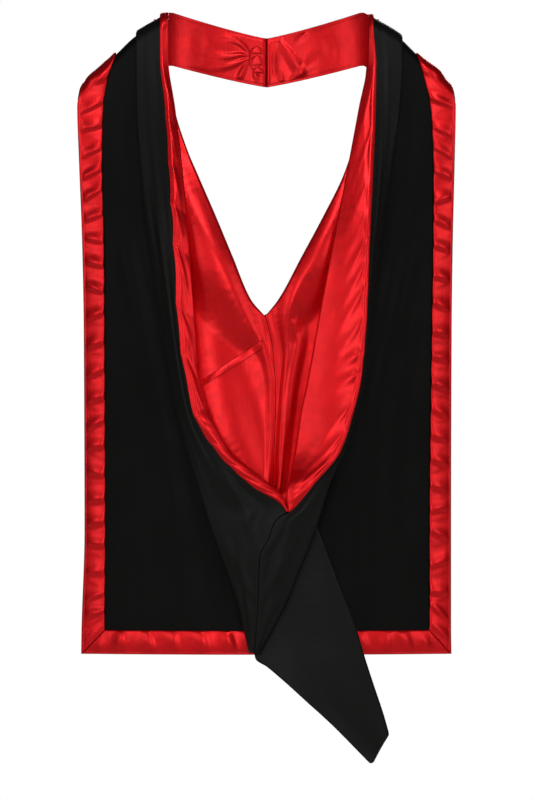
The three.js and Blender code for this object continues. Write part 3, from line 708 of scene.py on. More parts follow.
def cape_points(d, side):
    inset = d.satin_cloth + 2.5 * d.layer_gap
    shares = spaced(56, 0.006)
    rows = shoulder_rows(1.0) + down_rows(RIDGE_DOWN, NECK_POINT, 70)
    rows += down_rows(NECK_POINT, 1 - inset / d.drop, 80)[1:]
    points = []
    for row in rows:
        down = row_down(row)
        outer = edge_at(d, side, "outer", row) - side * inset
        tuck = side * d.neck_tuck if down < NECK_POINT else 0.0
        neck = NECK_EDGE.at(SIDES[side], down) * d.half + tuck
        if down >= NECK_POINT:
            neck = NECK_EDGE.rows[-1][1] * d.half
        line = []
        for share in shares:
            x = mix(outer, neck, share)
            hollow = CAPE_CREASES[side].height(x, -down * d.drop) * ease(down / 0.1)
            line.append(d.hang(x, row, hollow, NECK_POINT, inset))
        points.append(line if side < 0 else line[::-1])
    return points


class HOOD_OT_cape(bpy.types.Operator):
    """Black cape with the V of its neck opening"""
    bl_idname = "hood.cape"
    bl_label = "Cape"

    def execute(self, context):
        d = Drape(context.scene.hood_sizes)
        cape = cloth_piece("cape", [cape_points(d, -1), cape_points(d, 1)],
                           black_material(), d.cape_cloth)
        return {"FINISHED"}


class Puckers:
    """Small folds that lean across a satin strip between its two seams."""

    def __init__(self, seed, reach, spacing, lean, sharp):
        draw = random.Random(seed)
        self.sharp = sharp
        self.folds = []
        place = 0.0
        while place < reach:
            near = draw.uniform(0.7, 1.15)
            self.folds.append((
                place, draw.uniform(-0.6 * lean, lean), draw.uniform(0.75, 1.0),
                near, 1.85 - near, draw.uniform(0.7, 1.0)))
            # Between two folds the cloth bulges a little, with finer ripples
            self.folds.append((
                place + spacing * draw.uniform(0.3, 0.5), draw.uniform(-lean, 0.4 * lean),
                0.6, near, 1.85 - near, draw.uniform(0.06, 0.14)))
            place += spacing * draw.uniform(0.8, 1.2)
        self.spacing = spacing

    def height(self, along, share):
        """Height at a way along the strip and a share 0 to 1 of the way across it."""
        total = 0.0
        for place, lean, broad, near, far, tall in self.folds:
            away = along - place - lean * (share - 0.5)
            if abs(away) > 1.6 * self.spacing:
                continue
            width = 0.36 * self.spacing * broad * mix(near, far, share)
            side = width if away < 0 else width * self.sharp
            total += tall * bump(away, side)
        return total * math.sin(math.pi * clamp(share)) ** 0.6


def binding_section(d):
    """Back leaf, fold and inside leaf: reach from the seam, stand, and share of the pucker."""
    back = d.layer_gap + d.satin_cloth
    inside = -d.cape_cloth - back
    stitch = 0.91
    steps = 16
    section = []
    for step in range(steps + 1):
        share = step / steps
        rise = d.binding_puff * math.sin(math.pi * share) ** 0.7
        section.append((share * stitch, back + rise, share))
    section += [
        (0.935, back + 0.3 * MM, None), (0.965, back + 0.1 * MM, None),
        (0.99, back - 0.6 * MM, None), (1.0, -d.cape_cloth / 2, None),
        (0.99, inside + 0.6 * MM, None), (0.965, inside, None), (0.8, inside, None),
        (0.45, inside, None), (0.12, inside, None), (0.1, inside, None)]
    return section


def side_binding_points(d, side, puckers):
    section = binding_section(d)
    if side < 0:
        section = section[::-1]
    rows = shoulder_rows(1.0, 18, 9) + down_rows(RIDGE_DOWN, 1.0, 330)
    points = []
    for row in rows:
        seam = edge_at(d, side, "inner", row)
        edge = edge_at(d, side, "outer", row)
        line = []
        for reach, out, share in section:
            place = row
            # The puckers cross the strip level, so they're placed by height
            along = -d.hang(mix(seam, edge, reach), row, 0.0, NECK_POINT).z
            if row[0] == "front":
                along = -d.ridge(seam) - row[1] * 0.05
            if row[0] == "down" and row[1] > 0.9:
                end = 1 - (1 - reach) * d.binding_width / d.drop
                place = ("down", mix(0.9, end, (row[1] - 0.9) / 0.1))
            if share is not None:
                # Within 30 mm of the hem's mitre the puckers die out
                calm = ease((1.0 - row_down(row)) * d.drop / 0.03)
                out += d.pucker * puckers.height(along + 0.25, share) * calm
            line.append(d.hang(mix(seam, edge, reach), place, out, NECK_POINT))
        points.append(line)
    return points


def hem_binding_points(d, puckers):
    points = []
    steps = 200
    for reach, out, share in binding_section(d):
        z = -d.drop + d.binding_width * (1 - reach)
        left = mix(side_at(d, -1, "inner", z), side_at(d, -1, "outer", z), reach)
        right = mix(side_at(d, 1, "inner", z), side_at(d, 1, "outer", z), reach)
        left, right = left + 0.6 * d.layer_gap, right - 0.6 * d.layer_gap
        line = []
        for step in range(steps + 1):
            x = mix(left, right, step / steps)
            stand = out
            if share is not None:
                calm = ease(min(x - left, right - x) / 0.02)
                stand += 0.8 * d.pucker * puckers.height(x + d.half, share) * calm
            line.append(d.at(x, z, stand))
        points.append(line)
    return points


class HOOD_OT_bindings(bpy.types.Operator):
    """Satin bindings of the cape's two sides and its hem"""
    bl_idname = "hood.bindings"
    bl_label = "Bindings"

    def execute(self, context):
        d = Drape(context.scene.hood_sizes)
        satin = satin_material()
        for side, name, seed in ((-1, "binding_left", 11), (1, "binding_right", 5)):
            puckers = Puckers(seed, 1.2, 0.031, 0.014, 0.42)
            points = side_binding_points(d, side, puckers)
            piece = cloth_piece(name, [points], satin, d.satin_cloth)
        puckers = Puckers(8, 0.6, 0.03, 0.014, 0.5)
        hem = cloth_piece("binding_hem", [hem_binding_points(d, puckers)], satin,
                          d.satin_cloth)
        return {"FINISHED"}


# Cowl

# Soft folds that run slanting over the cowl's faces to the seam below its tip
COWL_CREASES = {
    -1: Creases([
        [(-84, -480, 5, 5, 0), (-54, -535, 7, 7, 2.2), (-28, -590, 7, 7, 2.4), (-8, -640, 4, 4, 0.4)],
        [(-66, -585, 5, 5, 0), (-44, -645, 7, 6, 2.4), (-15, -698, 4, 4, 0.8)],
        [(-46, -668, 4, 4, 0), (-34, -696, 6, 5, 2), (-14, -718, 4, 4, 0.6)],
    ]),
    1: Creases([
        [(56, -550, 5, 5, 0), (30, -592, 7, 7, 2.2), (4, -634, 4, 4, 0.6)],
        [(34, -622, 5, 5, 0), (16, -660, 7, 7, 2.4), (-8, -702, 4, 4, 0.6)],
        [(26, -680, 4, 4, 0), (8, -708, 6, 6, 1.8), (-6, -738, 4, 4, 0.4)],
    ]),
}


def cowl_rows(front, last, steps):
    return shoulder_rows(front) + down_rows(RIDGE_DOWN, last, steps)


def cowl_points(d, side, table):
    face_steps, turn_steps = 44, 12
    points = []
    for row in cowl_rows(0.3, table.keys[-1], 150):
        down = row_down(row)
        edge = table.at("edge", down) * d.half + side * d.seam_gap
        fold = table.at("fold", down) * d.half
        seat = table.at("seat", down) * d.half
        edge_out = table.at("edge_out", down) * d.cowl_depth
        fold_out = table.at("fold_out", down) * d.cowl_depth
        seat_out = d.layer_gap + table.at("seat_out", down) * d.cowl_depth
        section = []
        for share in spaced(face_steps, 0.012):
            swell = math.sin(math.pi * share)
            crown = swell * 0.06 * edge_out
            crease = 0.02 * edge_out * math.cos(4 * math.pi * share) * swell
            # Finer creases run down the face and wander a little
            wander = 3.5 * share + 0.9 * math.sin(7 * down + 2 * side)
            crease += 0.008 * edge_out * math.sin(2 * math.pi * wander) * swell
            crease += COWL_CREASES[side].height(mix(edge, fold, share), -down * d.drop) * swell ** 0.5
            section.append((mix(edge, fold, share), mix(edge_out, fold_out, share) + crown + crease))
        # The fold is flat where the cowl lies over the shoulder
        low = 1 - ease((down - RIDGE_DOWN) / 0.05)
        fold_out = mix(fold_out, seat_out, 0.55 * low)
        round_x = fold + side * 1.2 * MM
        for step in range(1, turn_steps + 1):
            share = step / turn_steps
            turn = 1 - (1 - share) ** 2
            x = mix(round_x, seat, share ** 2)
            section.append((x, mix(fold_out, seat_out, mix(share, turn, 0.5))))
        if side < 0:
            section.reverse()
        points.append([d.hang(x, row, out, COWL_LEVEL) for x, out in section])
    return points


class HOOD_OT_cowl(bpy.types.Operator):
    """Black outer cloth of the cowl, in two halves joined by a seam below its tip"""
    bl_idname = "hood.cowl"
    bl_label = "Cowl"

    def execute(self, context):
        d = Drape(context.scene.hood_sizes)
        for side, name, table, area in (
                (-1, "cowl_left", COWL_LEFT, 0.056), (1, "cowl_right", COWL_RIGHT, 0.05)):
            piece = cloth_piece(name, [cowl_points(d, side, table)], pressed_black(),
                                d.cape_cloth)
        return {"FINISHED"}


# Facings

# Places down the cowl's edge where its roll is drawn in, and how far
ROLL_PINCHES = {
    -1: ((0.05, 0.5), (0.13, 0.5), (0.2, 0.5), (0.267, 0.8), (0.334, 1.0), (0.432, 0.9),
         (0.513, 1.0), (0.611, 1.0), (0.65, 0.7), (0.684, 0.9), (0.708, 0.9),
         (0.73, 0.8), (0.752, 0.6)),
    1: ((0.05, 0.4), (0.14, 0.4), (0.22, 0.4), (0.275, 0.5), (0.32, 0.8), (0.36, 0.7),
        (0.4, 0.8), (0.45, 0.7), (0.507, 1.0), (0.54, 1.0), (0.59, 0.7), (0.635, 0.9),
        (0.676, 1.0), (0.72, 0.6), (0.745, 0.8)),
}


def pinch_at(side, down):
    """How far the roll is drawn in, 1 at a deep pinch and 0 midway between two, at a way down."""
    pinches = ROLL_PINCHES[side]
    for (start, deep), (end, next_deep) in zip(pinches, pinches[1:]):
        if start <= down <= end:
            share = (down - start) / (end - start)
            # The roll swells fast below a pinch and is drawn in slowly above the next one
            swell = math.hypot(math.sin(math.pi * share ** 0.85), 0.1) - 0.1
            return mix(deep, next_deep, share) * (1 - min(swell / 0.9, 1.0))
    return pinches[0][1] if down < pinches[0][0] else pinches[-1][1]


def lining_out(d, x, down):
    share = clamp((down - 0.3) / 0.45)
    folds = d.folds(LINING_FOLDS, x, share)
    return d.layer_gap + d.satin_cloth + folds * ease(down / 0.3)


def panel_folds(side, share, down):
    """Slanting folds of the satin between the roll and the facing's inner edge."""
    total = 0.0
    for place, deep in ROLL_PINCHES[side]:
        # A fold leaves each pinch and slants down to the inner edge, wider and softer as it goes.
        # Two deep ones above the kink of the right edge run out short
        short = side > 0 and 0.5 < place < 0.55
        slant = 0.045 if short else 0.125
        line = place + 0.004 + slant * share
        fading = (1 - share) ** (1.6 if short else 0.9) * ease(share / 0.1)
        total += deep * bump(down - line, 0.006 + 0.022 * share) * fading * (1.6 if short else 1)
    slack = math.sin(2 * math.pi * (down * 5.5 - share * 0.7))
    tall = 1.3 * MM if side < 0 else 1.25 * MM
    return tall * total + 0.4 * MM * slack * math.sin(math.pi * share)


def facing_points(d, side, table):
    name = SIDES[side]
    steps, turn_steps = 46, 6
    points = []
    for row in cowl_rows(0.12, 0.7672, 330):
        down = row_down(row)
        edge = table.at("edge", down) * d.half
        edge_out = table.at("edge_out", down) * d.cowl_depth
        inside = FACINGS.at(name, down) * d.half
        stand = FACINGS.at(name + "_out", down) * d.cowl_depth
        width = abs(edge - inside)
        grown = ease((down - 0.02) / 0.1)
        top = edge_out + d.layer_gap + d.satin_cloth
        slack = grown * clamp(width / 0.012)
        # Near the tip all of the facing is one round roll
        tube = ease((down - 0.6) / 0.05) if side < 0 else ease((down - 0.7) / 0.04)
        stand = mix(stand, top - 0.5 * MM, tube)
        swing = (7.5 if side < 0 else 3.2) * MM
        section = []
        for step in range(steps + 1):
            # The points lie closer together on the roll than on the panel behind it
            share = (step / steps) ** 1.4
            # The pinches run slanting across the satin
            drawn = pinch_at(side, down - share * width * 0.9 / d.drop)
            # The rolled edge draws back from the black cloth between two pinches
            lap = mix(0.8 * MM, -1.0 * MM, (1 - drawn) * grown) if side < 0 else 0.4 * MM
            away = share * (width + lap)
            # The roll's crest swings away from the black edge between two pinches
            crest_at = min(mix(1.2 * MM, swing, (1 - drawn) * grown), width * 0.4)
            tall = d.roll_height * mix(0.2, 0.5, 1 - drawn) * mix(0.3, 1, grown)
            if away < crest_at:
                crest = math.sin(0.5 * math.pi * away / crest_at)
            else:
                crest = 1 - ease((away - crest_at) / (crest_at * 0.8 + 2 * MM))
            calm_at = min(4 * MM, width * 0.3)
            panel = clamp((away - calm_at) / max(width - calm_at, 1 * MM))
            out = mix(top, stand, panel ** 1.25) + tall * crest
            out += panel_folds(side, panel, down) * slack
            round_out = mix(3.4, 2.2, drawn) * MM * math.sin(math.pi * share ** mix(0.8, 1.3, drawn)) ** 0.8
            out = mix(out, top - 0.5 * MM * share + round_out, tube)
            section.append((edge + side * (lap - away), out))
        turned = inside + side * min(width * 0.3, 8 * MM)
        base = lining_out(d, turned, down) + d.layer_gap + d.satin_cloth
        base = min(base, stand - d.satin_cloth)
        for step in range(1, turn_steps + 1):
            share = step / turn_steps
            section.append((mix(inside, turned, share ** 1.6), mix(stand, base, share ** 0.7)))
        if side < 0:
            section.reverse()
        points.append([d.hang(x, row, out, COWL_LEVEL) for x, out in section])
    return points


class HOOD_OT_facings(bpy.types.Operator):
    """Rolled satin edge of the cowl with the facing that turns in behind it"""
    bl_idname = "hood.facings"
    bl_label = "Facings"

    def execute(self, context):
        d = Drape(context.scene.hood_sizes)
        for side, name, table, area in (
                (-1, "facing_left", COWL_LEFT, 0.028), (1, "facing_right", COWL_RIGHT, 0.039)):
            piece = cloth_piece(name, [facing_points(d, side, table)], satin_material(),
                                d.satin_cloth)
        return {"FINISHED"}


LINING_CREASES = {
    -1: Creases([
        # The soft roll beside the neck opening, which runs on as a narrow ridge beside the seam
        [(-112, -150, 8, 12, 1), (-105, -180, 16, 20, 6), (-88, -222, 21, 28, 11),
         (-66, -268, 22, 32, 14), (-46, -310, 20, 32, 14), (-26, -350, 14, 24, 10),
         (-11, -374, 7, 10, 5.5), (-1, -395, 3, 6, 4), (3.5, -420, 3.4, 4, 3.4),
         (5.1, -446, 3, 3.6, 3), (4.6, -500, 3, 4, 2.4), (2, -560, 3, 4, 1.5)],
        # The broad swell beside the facing, from above the tape down into the pouch. It falls
        # away slowly towards the seam
        [(-92, -330, 20, 8, 1), (-90, -370, 28, 10, 5), (-86, -415, 36, 14, 9),
         (-76, -455, 40, 16, 12), (-58, -495, 36, 16, 12), (-36, -525, 28, 14, 9),
         (-14, -550, 16, 10, 4)],
    ]),
    1: Creases([
        [(99, -185, 12, 9, 3), (84, -225, 20, 14, 8), (62, -269, 24, 17, 12), (40, -312, 24, 17, 12),
         (28, -342, 16, 13, 9), (26, -372, 8, 7, 6), (26, -396, 6, 5, 5), (21, -446, 5, 4, 4.6),
         (16, -530, 4.5, 3.5, 3.5), (12, -590, 3, 3, 2)],
        [(36, -356, 8, 5, 2), (38, -380, 8, 5, 4), (30, -430, 7, 4, 4), (24, -490, 6, 3.5, 3),
         (18, -560, 5, 3, 1.5)],
    ]),
}


def lining_surface(d, side, x, down):
    """Stand of the lining's outer face off the cape, with all its folds."""
    name = SIDES[side]
    out = lining_out(d, x, down)
    facing = FACINGS.at(name, down) * d.half
    # Under the facing's turned edge the lining lies flat
    free = ease(((facing - x) * side + 5 * MM) / 0.005)
    out += LINING_CREASES[side].height(x, -down * d.drop) * free
    return out


def lining_points(d, side):
    name = SIDES[side]
    rows = down_rows(LININGS.keys[0], LININGS.keys[-1], 230)
    shares = spaced(70, 0.008)
    points = []
    for _, down in rows:
        outer = LININGS.at(name, down) * d.half
        above = down < NECK_POINT
        neck = NECK_EDGE.at(name, down) if above else LINING_SEAM.at("across", down)
        inner = neck * d.half + side * 0.2 * MM
        line = []
        for share in shares:
            x = mix(outer, inner, share)
            out = lining_surface(d, side, x, down)
            near = abs(inner - x)
            if above:
                # The edge of the neck opening is folded back in a soft round
                out -= 1.6 * MM * (1 - clamp(near / 0.0035)) ** 2
            else:
                out -= 0.9 * MM * bump(near, 1.5 * MM)
            line.append(d.at(x, -down * d.drop, out))
        points.append(line if side < 0 else line[::-1])
    return points


def tape_points(d):
    start, end = (-0.335, 0.553), (-0.02, 0.489)
    points = []
    for across in spaced(8, 0.06):
        line = []
        for share in spaced(60, 0.01):
            x = mix(start[0], end[0], share) * d.half
            width = d.tape_width * mix(0.8, 1.05, share)
            z = -mix(start[1], end[1], share) * d.drop - across * width
            out = lining_surface(d, -1, x, -z / d.drop) + d.satin_cloth + d.layer_gap * 0.6
            lift = ease(min(share, 1 - share) / 0.12)
            out += 0.35 * MM * math.sin(math.pi * across) ** 0.5 + 1.6 * MM * across * lift
            line.append(d.at(x, z, out))
        points.append(line)
    return points


class HOOD_OT_lining(bpy.types.Operator):
    """Satin lining of the cowl's back, in two halves, with the tape across the left one"""
    bl_idname = "hood.lining"
    bl_label = "Lining"

    def execute(self, context):
        d = Drape(context.scene.hood_sizes)
        satin = satin_material()
        for side, name, area in ((-1, "lining_left", 0.038), (1, "lining_right", 0.027)):
            piece = cloth_piece(name, [lining_points(d, side)], satin, d.satin_cloth)
        tape = cloth_piece("lining_tape", [tape_points(d)], satin, d.satin_cloth)
        return {"FINISHED"}


# Neckband and its loop

BAND_CREASES = {
    -1: Creases([
        # Folds that fan out from the point where the loop draws the band together
        [(-21.5, -17, 1.2, 1.2, 1.6), (-34, -16, 3, 3, 2.2), (-52, -19, 5, 5, 2), (-80, -14, 8, 8, 0.6)],
        [(-21.5, -20, 1.2, 1.2, 1.6), (-34, -25, 3, 3, 2), (-52, -30, 5, 5, 1.6), (-84, -31, 8, 8, 0.5)],
        [(-22, -22, 1, 1.5, 0.8), (-30, -36, 3, 3, 1.6), (-36, -50, 4, 4, 1.2)],
        [(-22, -15, 1.5, 1, 0.8), (-28, -6, 3, 3, 1.6), (-40, 2, 4, 4, 1.4), (-60, 6, 6, 6, 0.4)],
        [(-96, 20, 8, 8, 0), (-84, -4, 8, 8, 1.4), (-92, -30, 8, 8, 0)],
        [(-12, -48, 3, 3, 0.2), (-14, -40, 3, 3, 1.3), (-10, -30, 2, 2, 0)],
    ]),
    1: Creases([
        [(2, -2, 2, 2, 0.4), (2.6, -28, 1.4, 1.4, 0.8), (2, -56, 1.4, 1.4, 0.6)],
        [(9, -12, 3, 2, 0.3), (9, -30, 3, 2, 1.4), (11, -44, 3, 2, 0.3)],
        [(16, 2, 3, 4, 0.8), (26, -10, 4, 6, 2), (38, -28, 6, 7, 2.4), (46, -46, 5, 5, 0.8)],
        [(17, -40, 3, 3, 0.5), (20, -52, 3, 3, 1.4)],
        [(31, -52, 4, 4, 1.2), (44, -38, 5, 5, 1.2), (64, -22, 8, 8, 0.6)],
        [(46, 10, 5, 5, 1.4), (40, 2, 4, 4, 0.4)],
        [(70, 12, 8, 8, 0.4), (80, -10, 8, 8, 1.6), (76, -34, 8, 8, 0.2)],
    ]),
}


BAND_END = 0.53  # Cowl's inner edge, where the band goes behind it, as a share of the half width
BAND_LIFT = 0.1  # Band off the shoulder, as a share of the cowl's depth
EDGE_STITCH = 2.7 * MM
SLIT_STITCH = 15 * MM


def band_point(d, side, way, height, out=0.0):
    """`way` is 0 at the middle to 1 at the band's end, `height` 0 at its lower edge to 1."""
    end = d.half * BAND_END + d.band_overlap
    angle = way * math.pi / 2
    x = max(end * math.sin(angle), d.band_parting / 2)
    seat = d.radius + d.cowl_depth * BAND_LIFT + d.layer_gap
    drop = 1 - min(x / (d.half * 0.5), 1.0) ** 1.15
    crest = d.ridge(x) + d.cowl_depth * BAND_LIFT + 2 * MM
    top = crest - (d.band_sag + d.band_narrowing / 2) * drop
    tall = d.shoulder_rise - d.band_narrowing * drop
    curve = (1 - min(x / end, 1.0) ** 2.7) ** (1 / 2.7)
    lean = 5 * MM * (0.5 - height)
    y = seat + d.band_reach * curve - (out + lean) * math.cos(angle)
    return Vector((side * x, y, top - tall * (1 - height)))


def band_surface(d, side, way, height):
    flat = band_point(d, side, way, height)
    edge = min(height, 1 - height) * d.shoulder_rise
    # The folds die out at the edges' stitches, and a low ridge is left outside
    calm = ease((edge - 2.2 * MM) / 0.006)
    out = BAND_CREASES[side].height(flat.x, flat.z) * calm
    out -= 0.45 * MM * bump(edge - EDGE_STITCH, 0.8 * MM)
    out += 1.3 * MM * math.sin(math.pi * height) ** 0.5
    if side > 0:
        # The stitched fold at the slit
        out -= 0.5 * MM * bump(flat.x - SLIT_STITCH, 0.9 * MM) * calm
    else:
        # The left half sinks towards the slit, where it passes behind the right one
        out -= 1.3 * MM * clamp((flat.x + 4.5 * MM) / (3.4 * MM)) ** 2
    return band_point(d, side, way, height, out)


# Steps to the right and inwards from the left half's edge, mm
SLIT_TURN = ((0.5, 0.55), (0.95, 1.15), (1.45, 1.7), (2.1, 2.1), (3.2, 2.35), (4.8, 2.45))


def band_points(d, side):
    points = []
    for height in spaced(52, 0.008)[::-1]:
        line = [band_surface(d, side, share, height) for share in spaced(150, 0.002)]
        if side < 0:
            line = line[::-1] + [line[0] + Vector((x, y, 0)) * MM for x, y in SLIT_TURN]
        points.append(line)
    return points


def band_front(d, x, z):
    """The left band's outer face at a place of the finished view."""
    way = math.asin(clamp(-x / (d.half * BAND_END + d.band_overlap))) * 2 / math.pi
    low = band_point(d, -1, way, 0.0)
    return band_surface(d, -1, way, clamp((z - low.z) / d.shoulder_rise)).y


def loop_cord(d, bm):
    """The thin cord of the loop, round the pads' left side and under them."""
    ring = []
    steps, sides = 40, 10
    for step in range(steps + 1):
        angle = mix(-0.46, 0.14, step / steps) * math.pi
        x = (-3.4 - 18 * math.cos(angle)) * MM
        z = (-20 + 23 * math.sin(angle)) * MM
        middle = Vector((x, band_front(d, x, z) - 0.5 * MM, z))
        outward = Vector((-math.cos(angle), 0.0, math.sin(angle)))
        line = []
        for side in range(sides + 1):
            turn = 2 * math.pi * side / sides
            line.append(middle + outward * 0.8 * MM * math.cos(turn)
                        + Vector((0, -0.8 * MM * math.sin(turn), 0)))
        ring.append(line)
    fill_grid(bm, ring)
    bmesh.ops.remove_doubles(bm, verts=bm.verts, dist=1e-5)
    bmesh.ops.recalc_face_normals(bm, faces=bm.faces)


def loop_pads(d, bm):
    """Three flat satin pads that the loop draws together, squarish, with deep lines between them."""
    middle = band_point(d, -1, 0.05, 0.5)
    for across, rise, tall, wide in ((-1.6, 13.9, 5, 7.6), (-1.2, 0.6, 7, 7.4), (0.2, -11.2, 3.6, 6.8)):
        centre = middle + Vector((across, 0.0, rise)) * MM
        front = band_front(d, centre.x, centre.z) + 0.3 * MM
        made = bmesh.ops.create_uvsphere(bm, u_segments=32, v_segments=20, radius=1.0)["verts"]
        for vertex in made:
            x, y, z = vertex.co
            wrinkle = 0.12 * math.sin(4 * x + 2 * z + rise)
            # The front is flat nearly out to a steep rim, and the sides droop
            rim = 1 - y * y
            thick = math.copysign((1.15 + wrinkle) * (1 - rim * rim), y)
            right = math.copysign(abs(x) ** 0.72, x)
            up = math.copysign(abs(z) ** 0.72, z)
            vertex.co = Vector((
                centre.x + right * wide * MM, front + thick * MM,
                centre.z + (up * tall - 2.2 * abs(right) ** 1.6) * MM))
    for face in bm.faces:
        face.smooth = True


class HOOD_OT_neckband(bpy.types.Operator):
    """Satin neckband in two halves with a slit between them, and its loop"""
    bl_idname = "hood.neckband"
    bl_label = "Neckband"

    def execute(self, context):
        d = Drape(context.scene.hood_sizes)
        satin = satin_material()
        for side, name in ((-1, "neckband_left"), (1, "neckband_right")):
            piece = cloth_piece(name, [band_points(d, side)], satin, d.band_cloth)
        bm = bmesh.new()
        loop_cord(d, bm)
        loop_pads(d, bm)
        loop = finish_piece("hood_band_loop", bm, satin, nodes=["band_loop"])
        return {"FINISHED"}


# Tail

def tail_points(d):
    keyed = Table("order " + " ".join(TAIL.names), [
        (at / (len(TAIL.rows) - 1), *row) for at, row in enumerate(TAIL.rows)])
    corner = 0.2

    def point(share, layer, order):
        far = max(abs(share - 0.5) * 2 - (1 - corner), 0.0) / corner
        # The two corners of the squared end are round
        order = order * (1 - 0.012 * (1 - math.sqrt(max(1 - far * far, 0.0))))
        left = Vector((keyed.at("left", order) * d.half, -keyed.at("left_down", order) * d.drop))
        right = Vector((keyed.at("right", order) * d.half, -keyed.at("right_down", order) * d.drop))
        at = left.lerp(right, share)
        full = math.sin(math.pi * min(share * 0.75 + 0.12, 1.0))
        swell = mix(d.tail_cloth + 0.4 * MM, d.tail_fullness / 2, full)
        wave = 2.5 * MM * math.sin(2 * math.pi * share + 3 * order) * ease(order * 2)
        stand = keyed.at("out", order) * d.cowl_depth
        y = d.at(at.x, max(at.y, -d.drop), 0.0).y - stand - layer * swell - wave
        return Vector((at.x, y, at.y))

    shares = [mix(0.01, 0.97, value) for value in spaced(50, 0.02)[:-1]] + [0.97]
    fold = [(0.985, 0.78), (0.995, 0.42), (1.0, 0.0), (0.995, -0.42), (0.985, -0.78)]
    section = [(share, 1.0) for share in shares] + fold + [(share, -1.0) for share in shares[::-1]]
    points = []
    for order in spaced(130, 0.004):
        points.append([point(share, layer, order) for share, layer in section])
    return points


class HOOD_OT_tail(bpy.types.Operator):
    """Black tail: one cloth folded along its right edge, with a squared end"""
    bl_idname = "hood.tail"
    bl_label = "Tail"

    def execute(self, context):
        d = Drape(context.scene.hood_sizes)
        tail = cloth_piece("tail", [tail_points(d)], pressed_black(), d.tail_cloth)
        return {"FINISHED"}


# Stitches

def stitch_row(name, points, material, pitch=0.0028, thick=0.00035):
    """A row of single stitches along a line of points on the cloth."""
    bm = bmesh.new()
    carry = 0.0
    for a, b in zip(points, points[1:]):
        run = b - a
        if run.length < 1e-9:
            continue
        turn = run.to_track_quat("Z", "Y").to_matrix().to_4x4()
        while carry < run.length:
            place = a + run * (carry / run.length)
            made = bmesh.ops.create_uvsphere(bm, u_segments=6, v_segments=4, radius=1.0)["verts"]
            for vertex in made:
                x, y, z = vertex.co
                vertex.co = turn @ Vector((x * thick, y * thick, z * pitch * 0.36)) + place
            carry += pitch
        carry -= run.length
    for face in bm.faces:
        face.smooth = True
    return finish_piece(name, bm, material)


class HOOD_OT_stitches(bpy.types.Operator):
    """Rows of stitches along the bindings and the neckband"""
    bl_idname = "hood.stitches"
    bl_label = "Stitches"

    def execute(self, context):
        d = Drape(context.scene.hood_sizes)
        thread = thread_material()
        back = d.layer_gap + d.satin_cloth
        for side, name in SIDES.items():
            line = []
            for row in shoulder_rows(1.0, 18, 9) + down_rows(RIDGE_DOWN, 0.9967, 330):
                seam, edge = edge_at(d, side, "inner", row), edge_at(d, side, "outer", row)
                line.append(d.hang(mix(seam, edge, 0.912), row, back + 0.05 * MM, NECK_POINT))
            stitch_row("hood_stitches_" + name, line, thread)
            low = EDGE_STITCH / d.shoulder_rise
            for order, height in enumerate((low, 1 - low)):
                line = [band_surface(d, side, mix(0.014, 1.0, step / 120), height)
                        for step in range(121)]
                stitch_row(f"hood_band_stitches_{name}_{order + 1}", line, thread)
        z = -d.drop + d.binding_width * 0.088
        line = [d.at(mix(-0.97, 0.97, step / 200) * d.half, z, back + 0.05 * MM)
                for step in range(201)]
        stitch_row("hood_stitches_hem", line, thread)
        way = math.asin(SLIT_STITCH / (d.half * BAND_END + d.band_overlap)) / (math.pi / 2)
        line = [band_surface(d, 1, way, mix(0.06, 0.94, step / 60)) for step in range(61)]
        stitch_row("hood_band_stitches_slit", line, thread)
        return {"FINISHED"}


# Light, floor and camera

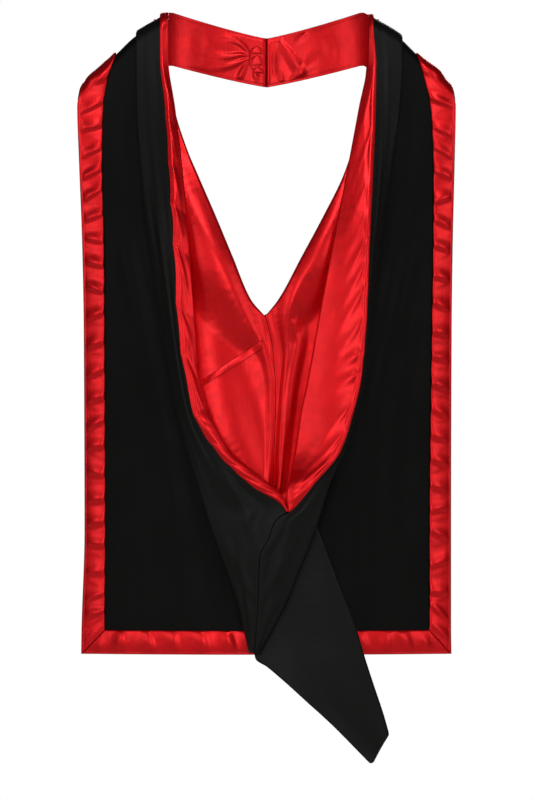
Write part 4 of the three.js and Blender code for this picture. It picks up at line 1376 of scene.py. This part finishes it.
class HOOD_OT_stage(bpy.types.Operator):
    """Pale floor, soft studio light and the camera"""
    bl_idname = "hood.stage"
    bl_label = "Stage"

    def execute(self, context):
        scene = context.scene
        bm = bmesh.new()
        bmesh.ops.create_circle(bm, cap_ends=True, segments=96, radius=2.2)
        for vertex in bm.verts:
            vertex.co.z = cad_box[0][2] - 0.12
        mesh = bpy.data.meshes.new("floor")
        bm.to_mesh(mesh)
        bm.free()
        floor = add_object("floor", mesh)
        material, tree = start_material("pale matt floor paint")
        mottle = add_node(tree, "ShaderNodeTexNoise", {"Scale": 6.0, "Detail": 3.0})
        gloss = add_node(tree, "ShaderNodeMapRange", {"To Min": 0.75, "To Max": 0.9},
                         {"Value": mottle.outputs["Fac"]})
        add_shader(tree, {"Base Color": rgba(linear("#F0EFEC"))},
                   {"Roughness": gloss.outputs["Result"]})
        mesh.materials.append(material)

        target = Vector((0.0, -0.05, -0.4))
        for name, place, size, watts in (
                ("front", (-0.4, -6.0, 0.3), 1.9, 72.0),
                ("right", (2.8, -2.4, 0.2), 1.7, 27.0),
                ("left", (-2.8, -2.4, 0.2), 1.7, 27.0),
                ("above", (0.2, -3.6, 2.8), 1.2, 62.0),
                ("behind", (0.3, 3.2, 0.8), 1.8, 60.0)):
            lamp = bpy.data.lights.new(name, "AREA")
            lamp.shape = "SQUARE"
            lamp.size = size
            lamp.energy = watts
            light = add_object(name, lamp)
            light.location = place
            light.rotation_euler = (target - Vector(place)).to_track_quat("-Z", "Y").to_euler()

        world = bpy.data.worlds.new("studio")
        scene.world = world
        world.use_nodes = True
        tree = world.node_tree
        tree.nodes.clear()
        seen = add_node(tree, "ShaderNodeLightPath").outputs["Is Camera Ray"]
        # The camera sees blank white, while the cloth reflects a dim room
        room, blank = (
            add_node(tree, "ShaderNodeBackground", {
                "Color": rgba(linear("#FFFFFF")), "Strength": strength}).outputs["Background"]
            for strength in (0.05, 1.0))
        both = add_node(tree, "ShaderNodeMixShader", None, {0: seen, 1: room, 2: blank})
        add_node(tree, "ShaderNodeOutputWorld", None, {"Surface": both.outputs["Shader"]})

        lens = bpy.data.cameras.new("camera")
        lens.sensor_width = 36.0
        lens.lens = 576.0
        lens.clip_end = 100.0
        camera = add_object("camera", lens)
        camera.location = (0.0, -16.0, -0.45)
        camera.rotation_euler = (math.pi / 2, 0.0, 0.0)
        scene.camera = camera
        scene.view_settings.view_transform = "Standard"
        return {"FINISHED"}


class HOOD_PT_panel(bpy.types.Panel):
    """Sizes, colours and steps of the hood"""
    bl_idname = "HOOD_PT_panel"
    bl_label = "Academic Hood"
    bl_space_type = "VIEW_3D"
    bl_region_type = "UI"
    bl_category = "Hood"

    def draw(self, context):
        for heading, group in (("Sizes", context.scene.hood_sizes),
                               ("Colours", context.scene.hood_colours)):
            box = self.layout.box()
            box.label(text=heading)
            for name in type(group).__annotations__:
                box.prop(group, name)
        for step in STEPS:
            self.layout.operator(step.bl_idname)


STEPS = (HOOD_OT_cape, HOOD_OT_bindings, HOOD_OT_cowl, HOOD_OT_facings, HOOD_OT_lining,
         HOOD_OT_neckband, HOOD_OT_tail, HOOD_OT_stitches, HOOD_OT_stage)
CLASSES = (HoodSizes, HoodColours) + STEPS + (HOOD_PT_panel,)


def register():
    for item in CLASSES:
        bpy.utils.register_class(item)
    bpy.types.Scene.hood_sizes = PointerProperty(type=HoodSizes)
    bpy.types.Scene.hood_colours = PointerProperty(type=HoodColours)


def unregister():
    del bpy.types.Scene.hood_colours
    del bpy.types.Scene.hood_sizes
    for item in reversed(CLASSES):
        bpy.utils.unregister_class(item)


def main():
    register()
    for step in STEPS:
        group, name = step.bl_idname.split(".")
        getattr(getattr(bpy.ops, group), name)()


if __name__ == "__main__":
    main()
